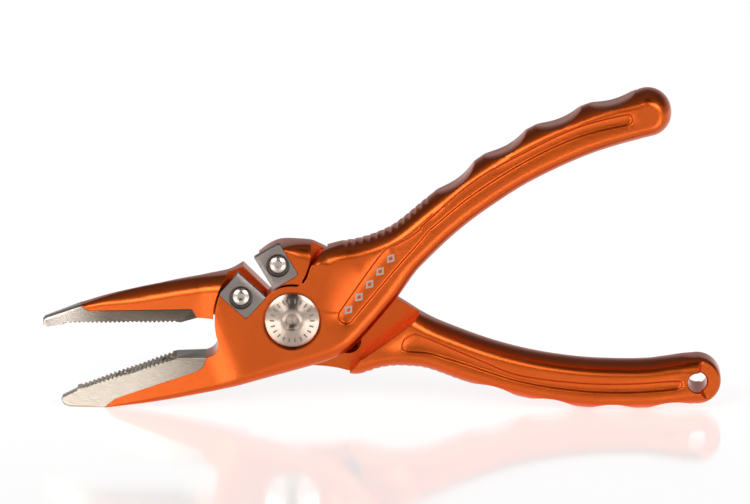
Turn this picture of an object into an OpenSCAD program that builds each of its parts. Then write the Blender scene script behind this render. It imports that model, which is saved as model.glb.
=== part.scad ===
// Fishing pliers: two machined halves that cross at a pivot, steel jaw inserts, carbide cutters.
// X runs from the jaw tips to the handles, Z is up, and the front faces look along -Y.
// Each half is drawn closed, with its grip face along X, and is then turned about the pivot to its rest pose.

/* [Frames] */
// Thickness across both halves
thickness = 12.7; // [12:0.1:13.4]
// Gap between the two plates at the pivot
plate_gap = 0.3; // [0.2:0.05:0.4]
// Radius that rounds the outer edges of the handles
edge_round = 3.6; // [3:0.1:4]
// Angle that the jaws stand open at rest
open_angle = 17; // [15:0.5:18]
// Angle of the upper jaw's grip face at rest
rear_tilt = 1.7; // [0:0.1:3]

/* [Jaws] */
// Half thickness of the jaws beside the pivot
jaw_half_heel = 5.2; // [4.8:0.1:5.6]
// Half thickness of the jaws at the tips
jaw_half_tip = 1.6; // [1.4:0.1:2.2]
// Gap left between the grip faces when closed
grip_gap = 0.1; // [0.05:0.05:0.3]
// Radius of a jaw screw's shank
jaw_screw_r = 1.25; // [1:0.05:1.4]
// Radius of a jaw screw's head
jaw_screw_head_r = 1.9; // [1.7:0.05:2]

/* [Pivot] */
// Radius of the pivot bolt's head
head_r = 7.1; // [6.8:0.1:7.3]
// Radius of the bolt's shoulder, which the front half turns on
shoulder_r = 3.5; // [3.2:0.1:3.7]
// Radial clearance of the running fit
running_gap = 0.05; // [0.02:0.01:0.08]
// Outer radius of the bushing
bushing_r = 4.5; // [4.4:0.1:5]
// Width across the flats of the hex socket
hex_across = 3; // [2.5:0.5:5]

/* [Cutters] */
// Length of a cutter's edge
cutter_l = 9.4; // [9:0.1:9.4]
// Width of a cutter
cutter_w = 7.4; // [7:0.1:7.4]
// Thickness of a cutter
cutter_t = 3.1; // [2.8:0.1:3.2]
// Radius of the counterbore in a cutter
cutter_bore_r = 2.95; // [2.8:0.05:3.1]
// Distance from the cutting edge to the screw
cutter_screw_in = 4.2; // [3.8:0.1:4.3]

/* [Handles] */
// Radius of the lanyard hole
lanyard_r = 2.45; // [2:0.05:2.6]
// Radius of the rounded handle ends
end_r = 6; // [5.8:0.1:6.2]
// Radius of the cutter that mills a finger scallop
scallop_r = 14; // [12:1:16]
// Depth of a finger scallop
scallop_depth = 1.3; // [1:0.1:1.5]

/* [Spring] */
// Width of the spring's pocket
pocket_w = 6.4; // [6:0.1:6.6]
// Depth of the spring's pocket
pocket_depth = 4.8; // [4.5:0.1:5]
// Outer radius of the coil
coil_r = 2.3; // [2:0.1:2.35]
// Radius of the spring's wire
wire_r = 0.35; // [0.3:0.05:0.45]
// Radius of the post that presses the spring
post_r = 1.5; // [1.2:0.1:1.6]

/* [Hidden] */

anodised = "#d2601f";
steel = "#b9b2aa";
carbide = "#7d7675";
bronze = "#a98452";
far = 40;
half_t = thickness / 2;
plate_face = plate_gap / 2;
front_tilt = rear_tilt + open_angle;

// Where the plates sweep past each other, as radii about the pivot
plate_r = 19.6;
sweep_r = 20;
neck_r = 9.05;
lug_in_r = 9.5;

// The line of the cutting edges, which runs through the pivot when closed
edge_angle = 118.9;
edge_u = [cos(edge_angle), sin(edge_angle)];
edge_m = [sin(edge_angle), -cos(edge_angle)];
edge_gap = 0.06;
plate_cutter_start = 8.95;
cutter_floor = -half_t + cutter_t;
cutter_screw_at = [cutter_l / 2, cutter_screw_in];

// Outlines ------------------------------------------------------------------------------------
// A control point is [x, z, w], where w is how much of the edge rounding it takes, from 0 to 1.

// A point at t on the Catmull-Rom curve from b to c
function between(a, b, c, d, t) =
    0.5 * (2 * b + (c - a) * t + (2 * a - 5 * b + 4 * c - d) * t * t
        + (3 * b - a - 3 * c + d) * t * t * t);

// A smooth open curve through pts, without its last point
function curve(pts, steps = 3) = [
    for (i = [0:len(pts) - 2], k = [0:steps - 1])
        between(pts[max(i - 1, 0)], pts[i], pts[i + 1], pts[min(i + 2, len(pts) - 1)], k / steps)
];

// Points on an arc, both ends included
function arc(centre, r, from, to, w = 0, steps = 12) = [
    for (k = [0:steps])
        let (a = from + (to - from) * k / steps)
            [centre[0] + r * cos(a), centre[1] + r * sin(a), w]
];

// The same w for every point of a list of [x, z]
function weighted(pts, w) = [for (p = pts) [p[0], p[1], w]];

// A loop moved inwards by d times each point's own w
function inset(loop, d) = [
    for (i = [0:len(loop) - 1])
        let (
            before = loop[(i + len(loop) - 1) % len(loop)],
            after = loop[(i + 1) % len(loop)],
            along = [after[0] - before[0], after[1] - before[1]],
            size = max(norm(along), 0.001)
        )
            [
                loop[i][0] - along[1] / size * d * loop[i][2],
                loop[i][1] + along[0] / size * d * loop[i][2]
            ]
];

// Front half: the seat of the lower insert, from its heel to the tip end
front_seat = concat(
    curve(weighted([[-23.9, -2.35], [-24.3, -3.2], [-25.2, -4.2], [-26.6, -4.9], [-28.6, -5.1]], 0)),
    curve(weighted([[-28.6, -5.1], [-47.2, -5.5], [-50, -5.9], [-52.6, -6.95]], 0))
);
front_belly = curve([
    [-52.6, -6.95, 0.2], [-47, -8.2, 0.7], [-41, -9.4, 1], [-35, -10.3, 1], [-28.7, -11.1, 1],
    [-22.6, -11.8, 1], [-13.2, -12.4, 1], [-3.9, -13, 1], [5.6, -13.3, 1], [9.3, -12.8, 1],
    [12.9, -11.7, 1], [19.1, -8.3, 1], [27.2, -3.2, 1], [32.8, 0.9, 1], [36.7, 3.1, 1],
    [44.4, 6.8, 1], [51.8, 9.7, 1], [59, 11.9, 1], [65.9, 13.7, 1], [72.8, 14.9, 1],
    [79.4, 15.7, 1], [86, 16.1, 1], [92.3, 16, 1], [98.6, 15.6, 1]
]);
front_end = [102, 21.3];
front_back = curve([
    [95, 27.9, 1], [87.5, 27.9, 1], [73, 26.8, 1], [57.5, 23.4, 1], [43.5, 18.5, 1],
    [38.1, 16.4, 1], [34.4, 14.9, 1], [30.8, 13.8, 1], [27.5, 13.4, 1], [24.3, 13.35, 1],
    [21.1, 13.6, 1], [18.5, 14.6, 1], [15.8, 15.7, 1], [13.2, 15.9, 0.6], [10.5, 14.3, 0]
]);
lug_seam = curve(weighted([[10.5, 14.3], [8.9, 11.8], [7.1, 9.4], [5.7, 8.35], [4, 8.12]], 0));
under_cutter = weighted([
    edge_u * 9 - edge_m * 0.6, edge_u * 17.9 - edge_m * 0.6, [-15.25, 12.3]
], 0);
front_throat = arc([-23.1, 1.2], 3.6, 0, -95, 0, 8);
front_outline = concat(
    front_seat, front_belly,
    arc(front_end, end_r, -98, 98, 1, 16), front_back,
    lug_seam, arc([0, 0], neck_r, 63, 117, 0, 8),
    under_cutter, arc([0, 0], plate_r, 142, 174, 0, 8), front_throat
);

// Rear half: the seat of the upper insert, from the tip end to its heel
rear_seat = concat(
    curve(weighted([[-53.4, 4.75], [-51.9, 3.5], [-50.4, 3.3]], 0)),
    weighted([[-50.4, 3.3], [-25.3, 3.55], [-24, 1.25], [-20.3, 1]], 0)
);
rear_under = curve([
    [-19.5, 0.6, 0], [-19.2, -1.8, 0], [-17, -6, 0], [-13, -9.6, 0], [-7, -11.8, 0],
    [0, -12.8, 0], [6.7, -13.3, 0.3], [10.7, -13.9, 0.8], [13.7, -14.7, 1], [16, -14.95, 1],
    [18.3, -14.6, 1], [21.3, -13.8, 1], [24.4, -13.4, 1], [27.4, -13.4, 1], [31.9, -13.9, 1],
    [34.9, -14.7, 1], [37.9, -15.9, 1], [43.5, -18.1, 1], [57.5, -22.5, 1], [73, -25.6, 1],
    [88, -26.2, 1], [95.5, -25.8, 1]
]);
rear_end = [102.1, -19.2];
rear_back = curve([
    [98.6, -13.15, 1], [94.1, -13.6, 1], [89.5, -13.95, 1], [83.5, -13.9, 1], [74.4, -13.3, 1],
    [66.8, -12.2, 1], [60.8, -11, 1], [54.8, -9.4, 1], [48.8, -7.4, 1], [42.8, -5, 1],
    [36.8, -2.4, 1], [33, -0.4, 1], [30.9, 0.9, 1], [27.9, 2.9, 1], [19.1, 8.2, 0.6],
    [16, 10.7, 0.3], [13, 13.2, 0], [10.1, 16.2, 0], [7.1, 18.2, 0], [5.5, 19.3, 0]
]);
lug_top = weighted([
    [5.5, 19.3], [-2.6, 19.3], [-4.6, 18.4], [-6.6, 16.9], edge_u * 17.6 + edge_m * 0.6
], 0);
rear_notch = weighted([
    edge_u * 8 + edge_m * 0.6, [-5.3, 6.1]
], 0);
rear_jaw_top = curve([
    [-12, 13.1, 0], [-15.8, 11.9, 1], [-21.9, 11.1, 1], [-28, 10.3, 1], [-34.1, 9.3, 1],
    [-40.2, 8.2, 0.9], [-46.3, 6.8, 0.6], [-53.4, 4.75, 0.2]
]);
rear_outline = concat(
    rear_seat, rear_under, arc(rear_end, end_r, -98, 98, 1, 16), rear_back,
    lug_top, rear_notch, rear_jaw_top
);

// Inserts
lower_nose = [
    [-31.2, 0], [-57.4, 0], [-57.8, -0.6], [-61.9, -1.1], [-62.5, -1.8], [-62.2, -3.2],
    [-61.2, -4.1], [-58.3, -5.2], [-52.6, -6.95]
];
upper_nose = [
    [-62.6, 1.8], [-63.1, 1.2], [-63.1, -0.2], [-62.7, -0.75], [-57.9, -0.15],
    [-57.7, grip_gap], [-28.3, grip_gap], [-24, 1.25]
];
upper_tip_z = 4.75;

// The front of the rear plate that the front plate sweeps, and the back of the front plate likewise
rear_step = [
    [0, -far], [13.8, -far], [14.2, -12.1], [17.8, -10.2], [20.7, -8.4], [31.2, -1], [32.7, 0.6],
    [33, far], [0, far]
];
front_step = [
    [0, far], [12.6, far], [12.6, 17.2], [14, 14.2], [17.2, 11.2], [20.9, 8.6], [29, 3.1],
    [33, 0.5], [37, -2], [37, -far], [0, -far]
];
lug_front = concat(
    [[5.8, far], [5.3, 16.8], [4.6, 14], [3.6, 11.4], [2.9, 10.3]],
    [for (p = arc([0, 0], lug_in_r, 80, 116, 0, 6)) [p[0], p[1]]],
    [edge_u * 9.6 + edge_m * 0.6, edge_u * 17.6 + edge_m * 0.6, [-9, far]]
);

// Screws of the inserts, as distances along X
lower_screws = [-45.3, -33];
upper_screws = [-45.3, -33];
lower_seat_z = -5.45;
upper_seat_z = 3.25;

// Pivot stack along Y
counterbore_y = -3.6;
head_back = -4.05;
head_front = -half_t - 0.1;
shoulder_end = 2.2;
nut_floor = 4.1;
nut_flange_r = 5.6;
thread_r = 2.5;
washer_r = 8.4;
washer_sink = 0.25;

// Spring pocket and post in the rear half's closed frame
pocket_low = [14, -7];
pocket_high = [14.9, 4.6];
pocket_relief = 0.03; // how far the straight walls stand inside the round ends
post_at = 15.3;
post_angle = 16;
spring_y = plate_face + coil_r + 0.1;
spring_low = pocket_low - [0, 2.15];
spring_l = 11.3;

// Shapes --------------------------------------------------------------------------------------

// A flat shape drawn in X and Z, from y0 back to y1
module slab(y0, y1)
    translate([0, y1, 0]) rotate([90, 0, 0]) linear_extrude(y1 - y0) children();

// A rod along Y from y0 to y1, centred at p = [x, z]
module rod(p, r, y0, y1, sides = 64)
    translate([p[0], y1, p[1]]) rotate([90, 0, 0]) cylinder(h = y1 - y0, r = r, $fn = sides);

// The rest poses of the two halves
module front_half() rotate([0, -front_tilt, 0]) children();
module rear_half() rotate([0, -rear_tilt, 0]) children();

// A half's blank: full outline in the middle, stepped in towards both faces where it is rounded
module blank(outline) {
    soft = half_t - edge_round * 0.25;
    mid = half_t - edge_round * 0.85;
    slab(-half_t, half_t) polygon(inset(outline, edge_round * 0.5));
    slab(-soft, soft) polygon(inset(outline, edge_round * 0.12));
    slab(-mid, mid) polygon(inset(outline, 0));
}

// What the jaws keep of the full thickness, seen from above
module jaw_taper()
    translate([0, 0, -far]) linear_extrude(2 * far) polygon([
        [-66, -jaw_half_tip], [-62, -jaw_half_tip], [-22.5, -jaw_half_heel], [-20, -half_t],
        [130, -half_t], [130, half_t], [-20, half_t], [-22.5, jaw_half_heel],
        [-62, jaw_half_tip], [-66, jaw_half_tip]
    ]);

// Finger scallops: round cuts between crests given as [x, z] pairs
module scallops(crests, side)
    for (i = [0:len(crests) - 2]) {
        mid = (crests[i] + crests[i + 1]) / 2;
        run = crests[i + 1] - crests[i];
        out = side * [-run[1], run[0]] / norm(run);
        at = mid + out * (scallop_r - scallop_depth);
        rod(at, scallop_r, -half_t - 1, half_t + 1, 96);
    }

// A cutter's place: its edge lies on the closed cutting line, and z runs back from the edge.
// side is 1 for the front plate and -1 for the lug.
module at_cutter(side, start)
    translate([edge_u[0] * start, 0, edge_u[1] * start]) rotate([0, -edge_angle, 0])
        mirror([0, 0, side > 0 ? 0 : 1]) translate([0, 0, edge_gap]) children();

// The plan of a cutter, with rounded corners at its back
module cutter_plan(extra = 0) {
    r = 0.8;
    translate([-extra, -extra]) square([cutter_l + 2 * extra, cutter_w - r + extra]);
    for (x = [r, cutter_l - r]) translate([x, cutter_w - r]) circle(r = r + extra, $fn = 32);
    translate([r, 0]) square([cutter_l - 2 * r, cutter_w + extra]);
}

module cutter()
    difference() {
        slab(-half_t, cutter_floor) cutter_plan();
        rod(cutter_screw_at, cutter_bore_r, -half_t - 1, -half_t + 1.9);
        rod(cutter_screw_at, 1.6, -half_t, cutter_floor + 1);
    }

module cutter_seat() slab(-half_t - 1, cutter_floor) cutter_plan(0.05);

// A cutter's screw, down to reach
module cutter_screw(reach)
    difference() {
        union() {
            rod(cutter_screw_at, 2.4, -half_t + 0.2, -half_t + 1.85);
            rod(cutter_screw_at, jaw_screw_r, -half_t + 1.8, reach);
        }
        rod(cutter_screw_at, 0.85, -half_t, -half_t + 1.2, 6);
    }

// A jaw screw along Z: head towards the grip face
module jaw_screw(x, head_z, end_z) {
    up = head_z > end_z ? 1 : -1;
    translate([x, 0, head_z]) mirror([0, 0, up > 0 ? 1 : 0])
        difference() {
            union() {
                cylinder(h = 1.4, r = jaw_screw_head_r, $fn = 48);
                cylinder(h = abs(end_z - head_z), r = jaw_screw_r, $fn = 48);
            }
            translate([0, 0, -1]) cylinder(h = 1.8, r = 0.85, $fn = 6);
        }
}

// The hole that a jaw screw fills, open towards the grip face
module jaw_screw_hole(x, head_z, end_z) {
    up = head_z > end_z ? 1 : -1;
    translate([x, 0, head_z]) mirror([0, 0, up > 0 ? 1 : 0]) {
        translate([0, 0, -3]) cylinder(h = 4.4, r = jaw_screw_head_r + 0.05, $fn = 48);
        cylinder(h = abs(end_z - head_z) + 0.1, r = jaw_screw_r, $fn = 48);
    }
}

lower_head_z = -1;
upper_head_z = grip_gap + 0.9;
lower_screw_ends = [-8, -9.6];
upper_screw_ends = [6, 8];

module spring_pocket()
    slab(plate_face - 1, plate_face + pocket_depth) {
        for (p = [pocket_low, pocket_high]) translate(p) circle(r = pocket_w / 2, $fn = 64);
        run = pocket_high - pocket_low;
        side = pocket_w - 2 * pocket_relief;
        translate(pocket_low) rotate(atan2(run[1], run[0]))
            translate([0, -side / 2]) square([norm(run), side]);
    }

// Nodes ---------------------------------------------------------------------------------------

module front_frame()
    color(anodised) front_half() difference() {
        intersection() {
            blank(front_outline);
            jaw_taper();
        }
        slab(-plate_face, half_t + 1) {
            circle(r = sweep_r, $fn = 128);
            polygon(front_step);
        }
        scallops([[43.5, 18.5], [57.5, 23.4], [73, 26.8], [87.5, 27.9], [102, 27.5]], 1);
        rod([0, 0], bushing_r, -half_t - 1, 1);
        rod([0, 0], head_r + 0.15, -half_t - 1, counterbore_y);
        at_cutter(1, plate_cutter_start) {
            cutter_seat();
            rod(cutter_screw_at, jaw_screw_r, -half_t, 1);
        }
        for (i = [0, 1]) jaw_screw_hole(lower_screws[i], lower_head_z, lower_screw_ends[i]);
        front_post() rod([0, 0], post_r, -4, 1);
    }

module rear_frame()
    color(anodised) rear_half() difference() {
        intersection() {
            blank(rear_outline);
            jaw_taper();
        }
        slab(-half_t - 1, plate_face) difference() {
            union() {
                circle(r = sweep_r, $fn = 128);
                polygon(rear_step);
            }
            polygon(lug_front);
        }
        scallops([[43.5, -18.1], [57.5, -22.5], [73, -25.6], [88, -26.2], [102.5, -25.4]], -1);
        rod([0, 0], shoulder_r, -1, half_t + 1);
        rod([0, 0], nut_flange_r + 0.1, nut_floor, half_t + 1);
        rod([0, 0], washer_r + 0.1, -1, plate_face + washer_sink);
        rod(rear_end, lanyard_r, -half_t - 1, half_t + 1);
        lanyard_tab();
        at_cutter(-1, lug_in_r) {
            cutter_seat();
            rod(cutter_screw_at, jaw_screw_r, -half_t, 3);
        }
        for (i = [0, 1]) jaw_screw_hole(upper_screws[i], upper_head_z, upper_screw_ends[i]);
        spring_pocket();
    }

// The handle end is milled thinner around the lanyard hole on both faces
module lanyard_tab()
    for (y = [-half_t - 1, half_t - 1.8])
        slab(y, y + 2.8) translate([104.6, -30]) square([10, 24]);

module front_post()
    translate([post_at * cos(post_angle - open_angle), 0, post_at * sin(post_angle - open_angle)])
        children();

module lower_jaw_insert()
    color(steel) front_half() difference() {
        intersection() {
            slab(-jaw_half_heel - 1, jaw_half_heel + 1) polygon(concat(
                [[-23.9, -2.35]], lower_nose,
                [for (i = [len(front_seat) - 1:-1:1]) [front_seat[i][0], front_seat[i][1]]]
            ));
            jaw_taper();
        }
        for (i = [0, 1]) jaw_screw_hole(lower_screws[i], lower_head_z, lower_screw_ends[i]);
    }

module upper_jaw_insert()
    color(steel) rear_half() difference() {
        intersection() {
            slab(-jaw_half_heel - 1, jaw_half_heel + 1) polygon(concat(
                [[-53.4, upper_tip_z]], upper_nose,
                [for (i = [len(rear_seat) - 3:-1:1]) [rear_seat[i][0], rear_seat[i][1]]]
            ));
            jaw_taper();
        }
        for (i = [0, 1]) jaw_screw_hole(upper_screws[i], upper_head_z, upper_screw_ends[i]);
    }

module lower_jaw_screw_tip()
    color(steel) front_half() jaw_screw(lower_screws[0], lower_head_z, lower_screw_ends[0]);
module lower_jaw_screw_heel()
    color(steel) front_half() jaw_screw(lower_screws[1], lower_head_z, lower_screw_ends[1]);
module upper_jaw_screw_tip()
    color(steel) rear_half() jaw_screw(upper_screws[0], upper_head_z, upper_screw_ends[0]);
module upper_jaw_screw_heel()
    color(steel) rear_half() jaw_screw(upper_screws[1], upper_head_z, upper_screw_ends[1]);

module plate_cutter() color(carbide) front_half() at_cutter(1, plate_cutter_start) cutter();
module lug_cutter() color(carbide) rear_half() at_cutter(-1, lug_in_r) cutter();
module plate_cutter_screw()
    color(steel) front_half() at_cutter(1, plate_cutter_start) cutter_screw(-0.4);
module lug_cutter_screw() color(steel) rear_half() at_cutter(-1, lug_in_r) cutter_screw(2.6);

module pivot_bolt()
    color(steel) difference() {
        union() {
            rod([0, 0], head_r, head_front, head_back, 128);
            rod([0, 0], shoulder_r, head_back - 0.5, shoulder_end);
            rod([0, 0], thread_r, 0, half_t - 0.4);
        }
        rod([0, 0], hex_across / sqrt(3), head_front - 1, head_front + 3, 6);
    }

module pivot_nut()
    color(steel) difference() {
        union() {
            rod([0, 0], nut_flange_r, nut_floor + 0.4, half_t - 0.1);
            rod([0, 0], shoulder_r - 0.02, shoulder_end + 0.1, half_t - 1);
        }
        rod([0, 0], thread_r, 0, half_t + 1);
        for (x = [-3.9, 3.9]) rod([x, 0], 0.6, half_t - 1.4, half_t + 1, 32);
    }

module ring(inner, outer, y0, y1)
    difference() {
        rod([0, 0], outer, y0, y1, 96);
        rod([0, 0], inner, y0 - 1, y1 + 1);
    }

module nut_washer() color(bronze) ring(shoulder_r, nut_flange_r, nut_floor, nut_floor + 0.38);
module thrust_washer()
    color(bronze) ring(shoulder_r + 0.02, washer_r, 0.05 - plate_face, plate_face + washer_sink);
module head_washer()
    color(bronze) front_half() ring(shoulder_r + 0.3, head_r - 0.6, counterbore_y - 0.4, counterbore_y);
module pivot_bushing()
    color(bronze) front_half()
        ring(shoulder_r + running_gap, bushing_r, counterbore_y, -plate_face);

module spring_post()
    color(steel) front_half() front_post()
        rod([0, 0], post_r, -4, plate_face + pocket_depth - 0.4);

// The coil is a sleeve with closed ends of wire, and the turns between them are rings
module return_spring()
    color(steel) rear_half() translate([spring_low[0], spring_y, spring_low[1]])
        rotate([0, atan2(pocket_high[0] - pocket_low[0], pocket_high[1] - pocket_low[1]), 0])
            difference() {
                cylinder(h = spring_l, r = coil_r, $fn = 48);
                translate([0, 0, -1]) cylinder(h = spring_l + 2, r = coil_r - 2 * wire_r, $fn = 48);
            }

rear_frame();
upper_jaw_insert();
upper_jaw_screw_tip();
upper_jaw_screw_heel();
lug_cutter();
lug_cutter_screw();
pivot_bolt();
pivot_nut();
nut_washer();
thrust_washer();
return_spring();
front_frame();
lower_jaw_insert();
lower_jaw_screw_tip();
lower_jaw_screw_heel();
plate_cutter();
plate_cutter_screw();
pivot_bushing();
head_washer();
spring_post();
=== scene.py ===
"""Fishing pliers: two anodised halves on a pivot, with steel jaws, carbide cutters and a spring.

Every solid is drawn in millimetres in its own half's closed position, where X runs from the jaw
tips to the handle ends, Z is up and the front looks along -Y. It is then turned about the pivot
to the rest position and scaled to metres.
"""

import logging
import math
from collections.abc import Callable, Iterable, Sequence
from dataclasses import dataclass, field
from enum import Enum
from typing import ClassVar

import bmesh
import bpy
import numpy as np
from mathutils import Matrix, Vector
from mathutils.geometry import delaunay_2d_cdt

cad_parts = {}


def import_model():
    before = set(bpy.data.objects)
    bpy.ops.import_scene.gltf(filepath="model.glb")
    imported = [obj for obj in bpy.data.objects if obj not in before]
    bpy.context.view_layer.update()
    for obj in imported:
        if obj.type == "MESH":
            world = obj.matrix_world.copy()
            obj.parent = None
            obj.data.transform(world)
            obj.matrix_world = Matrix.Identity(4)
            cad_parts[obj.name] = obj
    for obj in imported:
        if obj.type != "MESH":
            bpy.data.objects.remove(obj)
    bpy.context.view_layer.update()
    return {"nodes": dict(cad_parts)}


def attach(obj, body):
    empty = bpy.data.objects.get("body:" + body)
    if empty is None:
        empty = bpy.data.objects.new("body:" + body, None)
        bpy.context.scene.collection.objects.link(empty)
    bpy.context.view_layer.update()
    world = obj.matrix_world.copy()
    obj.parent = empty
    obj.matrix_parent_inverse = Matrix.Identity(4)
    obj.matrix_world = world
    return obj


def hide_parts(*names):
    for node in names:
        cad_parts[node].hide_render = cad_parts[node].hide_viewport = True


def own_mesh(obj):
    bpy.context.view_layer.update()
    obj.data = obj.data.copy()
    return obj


LOG = logging.getLogger("pliers")

MM = 0.001
HALF_THICKNESS = 6.35
PLATE_FACE = 0.15
EDGE_ROUND = 3.6
SMALL_LIP = 0.12
FRONT_TILT = math.radians(18.7)
REAR_TILT = math.radians(1.7)
FLOOR_Z = -23.63

# Half the thickness along X: full at the plates, then a bend and the jaws' taper
JAW_X = [-62.0, -23.2, -22.2, -21.0, -19.6, -18.0, -16.2]
JAW_HEIGHT = [1.6, 5.13, 5.28, 5.6, 5.98, 6.24, HALF_THICKNESS]
FLAT_TOLERANCE = 1e-3

# The line of the cutting edges, which runs through the pivot when the jaws are closed
EDGE_ANGLE = math.radians(118.9)
EDGE_ALONG = np.array([math.cos(EDGE_ANGLE), math.sin(EDGE_ANGLE)])
EDGE_ACROSS = np.array([math.sin(EDGE_ANGLE), -math.cos(EDGE_ANGLE)])
EDGE_GAP = 0.06

# The cutters' plan, and where each starts along the cutting line
CUTTER_LENGTH = 9.4
CUTTER_WIDTH = 7.4
PLATE_CUTTER_START = 8.95
LUG_CUTTER_START = 9.5

# The profile of the bolt's domed head, as radii and how far each lies below the crown
HEAD_R = [0, 1.9, 2.3, 2.7, 3.4, 4.2, 5.0, 5.8, 6.65, 7.1]
HEAD_DROP = [-0.16, -0.14, -0.05, 0, -0.14, -0.31, -0.48, -0.65, -0.83, -1.05]

# How far the head's cone falls back for each millimetre of radius
HEAD_CONE = 0.213

# The lanyard hole, whose handle end is round about it
LANYARD_AT = (102.1, -19.2)
LANYARD_R = 2.45
HANDLE_END_R = 6.0

# Seats of the two inserts, from the heel of the lower one and from the tip of the upper one
LOWER_SEAT = (
    [[-23.9, -2.35], [-24.3, -3.2], [-25.2, -4.2], [-26.6, -4.9], [-28.6, -5.1]],
    [[-28.6, -5.1], [-47.2, -5.5], [-50, -5.9], [-52.6, -6.95]],
)
UPPER_SEAT = ([[-53.4, 4.75], [-51.9, 3.5], [-50.4, 3.3]],)

Surface = Callable[[np.ndarray], np.ndarray]


class Body(Enum):
    """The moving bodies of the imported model."""

    REAR = "rear_half"
    FRONT = "front_half"


class Slot(Enum):
    """The record's material slot names; no piece in this script uses them."""

    ANODISED = "anodised_aluminium"
    JAW_STEEL = "jaw_steel"
    POLISHED = "polished_steel"
    TURNED = "turned_steel"
    CARBIDE = "carbide"
    SPRING = "spring_wire"


class Face(Enum):
    """Which face of a plate a cut is milled from."""

    FRONT = "front"
    BACK = "back"
    THROUGH = "through"


# Lines in the plane of the pliers --------------------------------------------------------------


def smooth_line(points: Sequence[Sequence[float]], spacing: float = 0.6) -> list[list[float]]:
    """Runs a Catmull-Rom curve through points.

    Args:
        points: Rows of [x, z, w], where w is the share of the edge rounding.
        spacing: The distance between samples, in millimetres.

    Returns:
        The samples, without the last point.
    """
    rows = np.array(points, float)
    out: list[list[float]] = []
    for i in range(len(rows) - 1):
        a, b = rows[max(i - 1, 0)], rows[i]
        c, d = rows[i + 1], rows[min(i + 2, len(rows) - 1)]
        steps = max(2, round(float(np.linalg.norm((c - b)[:2])) / spacing))
        for k in range(steps):
            t = k / steps
            row = 0.5 * (
                2 * b
                + (c - a) * t
                + (2 * a - 5 * b + 4 * c - d) * t * t
                + (3 * b - a - 3 * c + d) * t**3
            )
            row[2] = min(max(row[2], 0.0), 1.75)
            out.append(row.tolist())
    return out


def flat(points: Iterable[Sequence[float]], share: float = 0.0) -> list[list[float]]:
    """Gives every [x, z] the same share of the edge rounding."""
    return [[float(p[0]), float(p[1]), share] for p in points]


def seat_line(parts: Sequence[Sequence[Sequence[float]]]) -> list[list[float]]:
    """Runs smooth square-edged lines through the parts of an insert's seat."""
    return [row for part in parts for row in smooth_line(flat(part))]


def arc_line(
    centre: Sequence[float], radius: float, start: float, end: float, share: float = 0.0, steps: int = 24
) -> list[list[float]]:
    """Samples an arc, with both its ends.

    Args:
        centre: The arc's centre, [x, z].
        radius: Its radius in millimetres.
        start: Its first angle in degrees, counted from +X towards +Z.
        end: Its last angle in degrees.
        share: The share of the edge rounding.
        steps: How many chords it has.

    Returns:
        Rows of [x, z, share].
    """
    angles = np.radians(np.linspace(start, end, steps + 1))
    return [[centre[0] + radius * math.cos(a), centre[1] + radius * math.sin(a), share] for a in angles]


def circle_loop(centre: Sequence[float], radius: float, steps: int = 64) -> np.ndarray:
    """A closed circle as an array of [x, z]."""
    return np.array(arc_line(centre, radius, 0, 360, 0, steps))[:-1, :2]


def ring_line(radius: float, steps: int) -> np.ndarray:
    """A circle round the origin as a line that ends where it starts."""
    ring = circle_loop((0, 0), radius, steps)
    return np.vstack([ring, ring[:1]])


def rounded_band(start: Sequence[float], end: Sequence[float], width: float) -> np.ndarray:
    """A closed loop with straight sides and round ends, from start to end."""
    angle = math.degrees(math.atan2(end[1] - start[1], end[0] - start[0]))
    rows = arc_line(end, width / 2, angle - 90, angle + 90) + arc_line(
        start, width / 2, angle + 90, angle + 270
    )
    return np.array(rows)[:, :2]


def turned(points: np.ndarray, angle: float) -> np.ndarray:
    """Turns [x, z] rows about the pivot by angle, in radians, from +X towards +Z."""
    c, s = math.cos(angle), math.sin(angle)
    return points @ np.array([[c, s], [-s, c]])


def area_of(loop: np.ndarray) -> float:
    """The signed area of a loop, positive where it runs from +X towards +Z."""
    x, z = loop[:, 0], loop[:, 1]
    return float(0.5 * np.sum(x * np.roll(z, -1) - np.roll(x, -1) * z))


def inward_normals(loop: np.ndarray) -> np.ndarray:
    """Unit normals at a loop's points, towards its inside."""
    along = np.roll(loop, -1, 0) - np.roll(loop, 1, 0)
    along /= np.maximum(np.linalg.norm(along, axis=1, keepdims=True), 1e-9)
    normals = np.column_stack([-along[:, 1], along[:, 0]])
    return normals if area_of(loop) > 0 else -normals


def grown(loop: np.ndarray, distance: float) -> np.ndarray:
    """A loop moved outwards by distance, with mitred corners."""
    before = loop - np.roll(loop, 1, 0)
    after = np.roll(loop, -1, 0) - loop
    before /= np.maximum(np.linalg.norm(before, axis=1, keepdims=True), 1e-9)
    after /= np.maximum(np.linalg.norm(after, axis=1, keepdims=True), 1e-9)
    sign = 1.0 if area_of(loop) > 0 else -1.0
    n0 = np.column_stack([before[:, 1], -before[:, 0]]) * sign
    n1 = np.column_stack([after[:, 1], -after[:, 0]]) * sign
    mitre = (n0 + n1) / np.maximum(1 + np.sum(n0 * n1, axis=1, keepdims=True), 0.5)
    return loop + mitre * distance


def inside(points: np.ndarray, loop: np.ndarray) -> np.ndarray:
    """Tells which points lie inside a closed loop, by counting crossings."""
    x, z = points[:, 0][:, None], points[:, 1][:, None]
    x0, z0 = loop[:, 0][None], loop[:, 1][None]
    x1, z1 = np.roll(loop[:, 0], -1)[None], np.roll(loop[:, 1], -1)[None]
    crosses = (z0 > z) != (z1 > z)
    rise = np.where(np.abs(z1 - z0) < 1e-12, 1e-12, z1 - z0)
    return (np.sum(crosses & (x < x0 + (z - z0) * (x1 - x0) / rise), axis=1) % 2) == 1


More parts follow.
